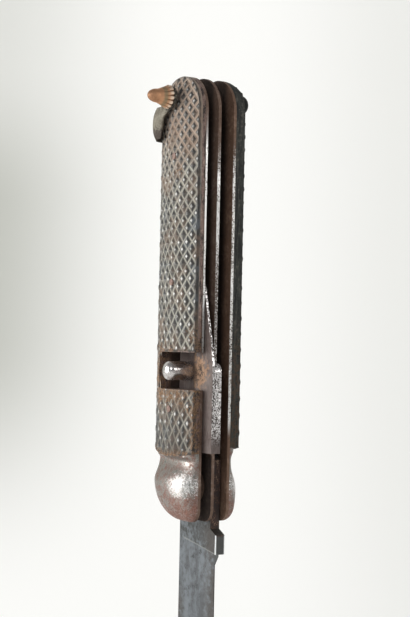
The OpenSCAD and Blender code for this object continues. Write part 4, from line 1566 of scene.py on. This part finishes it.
@dataclass
class Studio:
    """Camera at the photograph's angle, a pale sweep, soft lamps and a pale world, in metres and degrees.

    The shade_ places are in millimetres: where the paper's shade starts and where it is full, but for
    shade_head, where it starts to fade and where it has faded.
    """

    azimuth: float = -31.05
    elevation: float = -1.35
    roll: float = 1.21
    distance: float = 0.3876
    shift_right: float = 0.00108
    shift_up: float = 0.0483
    focal_px: float = 1412.0
    picture_px: float = 617.0
    sensor_mm: float = 36.0
    axis_y: float = -0.010
    aim_z: float = 0.05
    paper: Colour = (0.90, 0.90, 0.875)
    paper_lit: Colour = (1.0, 1.0, 0.975)
    paper_shade: Colour = (0.46, 0.47, 0.42)
    shade_left: tuple[float, float] = (-10.0, -135.0)
    shade_foot: tuple[float, float] = (-95.0, 40.0)
    shade_head: tuple[float, float] = (110.0, 200.0)
    shade_right: tuple[float, float] = (20.0, 130.0)
    glow: float = 0.88
    paper_from: float = -1.2
    paper_bend: float = 0.12
    paper_r: float = 0.3
    paper_half: float = 1.4
    paper_gap: float = 0.0006
    sky: Colour = (0.93, 0.94, 0.95)
    sky_strength: float = 0.30
    lamps: tuple[Lamp, ...] = (
        Lamp("left_window", (-0.93, 0.4, 0.05), 0.9, 0.6, 10.0, (1.0, 0.995, 0.98)),
        Lamp("bolster_glint", (-0.9, -0.75, 0.5), 0.8, 0.3, 1.6, (0.98, 0.99, 1.0)),
        Lamp("edge_glint", (0.55, -0.85, 0.3), 0.9, 0.35, 2.0, (1.0, 0.99, 0.97)))

    def camera(self) -> None:
        """Places the camera that was fitted to the photograph."""
        az, el, roll = (math.radians(a) for a in (self.azimuth, self.elevation, self.roll))
        back = Vector((math.sin(az) * math.cos(el), -math.cos(az) * math.cos(el), math.sin(el)))
        level = (-back).cross(Vector((0, 0, 1))).normalized()
        upright = level.cross(-back)
        right = math.cos(roll) * level + math.sin(roll) * upright
        up = -math.sin(roll) * level + math.cos(roll) * upright
        place = Matrix((right, up, back)).transposed().to_4x4()
        shift = self.shift_right * right + self.shift_up * up
        place.translation = Vector((0, self.axis_y, 0)) + shift + back * self.distance
        lens = bpy.data.cameras.new("camera")
        lens.sensor_fit, lens.sensor_width = "AUTO", self.sensor_mm
        lens.lens = self.sensor_mm * self.focal_px / self.picture_px
        camera = bpy.data.objects.new("camera", lens)
        bpy.context.scene.collection.objects.link(camera)
        camera.matrix_world = place
        bpy.context.scene.camera = camera

    def sweep(self) -> None:
        """Lays a pale sheet under the knife that rises behind it in one curve and is clear from its back."""
        az = math.radians(self.azimuth)
        away, side = Vector((-math.sin(az), math.cos(az), 0)), Vector((math.cos(az), math.sin(az), 0))
        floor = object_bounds()[0][2] - self.paper_gap
        line = [(self.paper_from, 0.0), (self.paper_bend, 0.0)]
        line += [(self.paper_bend + self.paper_r * math.sin(a), self.paper_r - self.paper_r * math.cos(a))
                 for a in (math.radians(d) for d in range(10, 91, 8))]
        line.append((self.paper_bend + self.paper_r, self.paper_half))
        flat = [(away * out + side * across, floor + up)
                for out, up in line for across in (-self.paper_half, self.paper_half)]
        points = [(p.x / MM, p.y / MM, z / MM) for p, z in flat]
        sheet = mesh_object("paper_sweep", points, skin([(n, n + 1) for n in range(0, len(points), 2)]))
        soften(sheet, 60.0)
        b = Bench("paper")
        rays = b.make("ShaderNodeLightPath").outputs
        seen = Wire(b, rays["Is Camera Ray"]).larger(Wire(b, rays["Is Glossy Ray"]))
        across, z = b.axis("X") * side.x + b.axis("Y") * side.y, b.axis("Z")
        left = across.ramp(*self.shade_left) * z.ramp(*self.shade_foot) * (
            1.0 - z.ramp(*self.shade_head) * 0.45)
        right = across.ramp(*self.shade_right) * 0.28
        shade = b.blend((left + right).held(), self.paper_lit, self.paper_shade)
        glow = b.make("ShaderNodeEmission", {}, {"Color": shade, "Strength": 1.0})
        plain = b.make("ShaderNodeBsdfDiffuse", {}, {"Color": self.paper})
        front = b.make("ShaderNodeMixShader", {}, {
            0: seen * self.glow, 1: plain.outputs[0], 2: glow.outputs[0]})
        clear = b.make("ShaderNodeBsdfTransparent")
        back = b.make("ShaderNodeNewGeometry").outputs["Backfacing"]
        mixed = b.make("ShaderNodeMixShader", {}, {0: back, 1: front.outputs[0], 2: clear.outputs[0]})
        b.make("ShaderNodeOutputMaterial", {}, {"Surface": mixed.outputs[0]})
        sheet.data.materials.append(b.material)
        sheet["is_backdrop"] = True

    def light(self) -> None:
        """Hangs the lamps and lights the world."""
        for lamp in self.lamps:
            lamp.hang(Vector((0, self.axis_y, self.aim_z)))
        world = bpy.data.worlds.new("studio")
        bpy.context.scene.world = world
        world.use_nodes = True
        sky = world.node_tree.nodes["Background"]
        sky.inputs["Color"].default_value = (*self.sky, 1.0)
        sky.inputs["Strength"].default_value = self.sky_strength
        bpy.context.scene.view_settings.view_transform = "Standard"

    def build(self) -> None:
        """Sets up the whole studio."""
        self.camera()
        self.sweep()
        self.light()


def corners() -> list[list[float]]:
    """Lowest and highest corner of everything shown, as plain numbers."""
    return [list(map(float, c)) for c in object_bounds()]


def main() -> None:
    """Builds the pieces in order and reports them."""
    logging.basicConfig(level=logging.INFO, format="%(name)s %(message)s")
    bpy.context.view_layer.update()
    materials = {slot: finish.material() for slot, finish in FINISHES.items()}
    Metalwork().dress(materials)
    left = ChequeredScale("left_scale", Side.LEFT, 8.1, notch=(26.15, 36.25, -2.8),
                          stains=[(-3.0, 30.0, 6.0, 2.0), (-4.0, 36.8, 4.2, 2.2), (-10.0, 36.8, 2.4, 1.4),
                                  (-4.6, 25.2, 4.6, 2.6), (-9.4, 25.0, 4.0, 2.4), (-15.0, 24.6, 4.4, 1.5),
                                  (-18.6, 20.8, 2.4, 1.6), (-19.5, 14.0, 3.0, 0.9), (-19.0, 41.0, 3.4, 1.1),
                                  (-12.5, 85.0, 2.6, 1.5)])
    left.build(materials["left_scale"])
    ChequeredScale("right_scale", Side.RIGHT, 9.6, fall_r=22.0, fall_h=13.0).build(materials["right_scale"])
    DomedBolster("left_bolster", Side.LEFT, 8.1).build(materials["bolster_steel"])
    DomedBolster("right_bolster", Side.RIGHT, 9.6, waist_h=2.0, bulge_h=5.0,
                 waist_z=7.0, bulge_z=-0.4).build(materials["bolster_steel"])
    fittings = TurnedFittings()
    fittings.rosette(materials["copper"])
    fittings.nose(materials["copper"])
    fittings.knob(materials["blackened"])
    fittings.stud(materials["stud_steel"])
    ForgedShackle().build(materials["shackle_iron"])
    Studio().build()


if __name__ == "__main__":
    main()
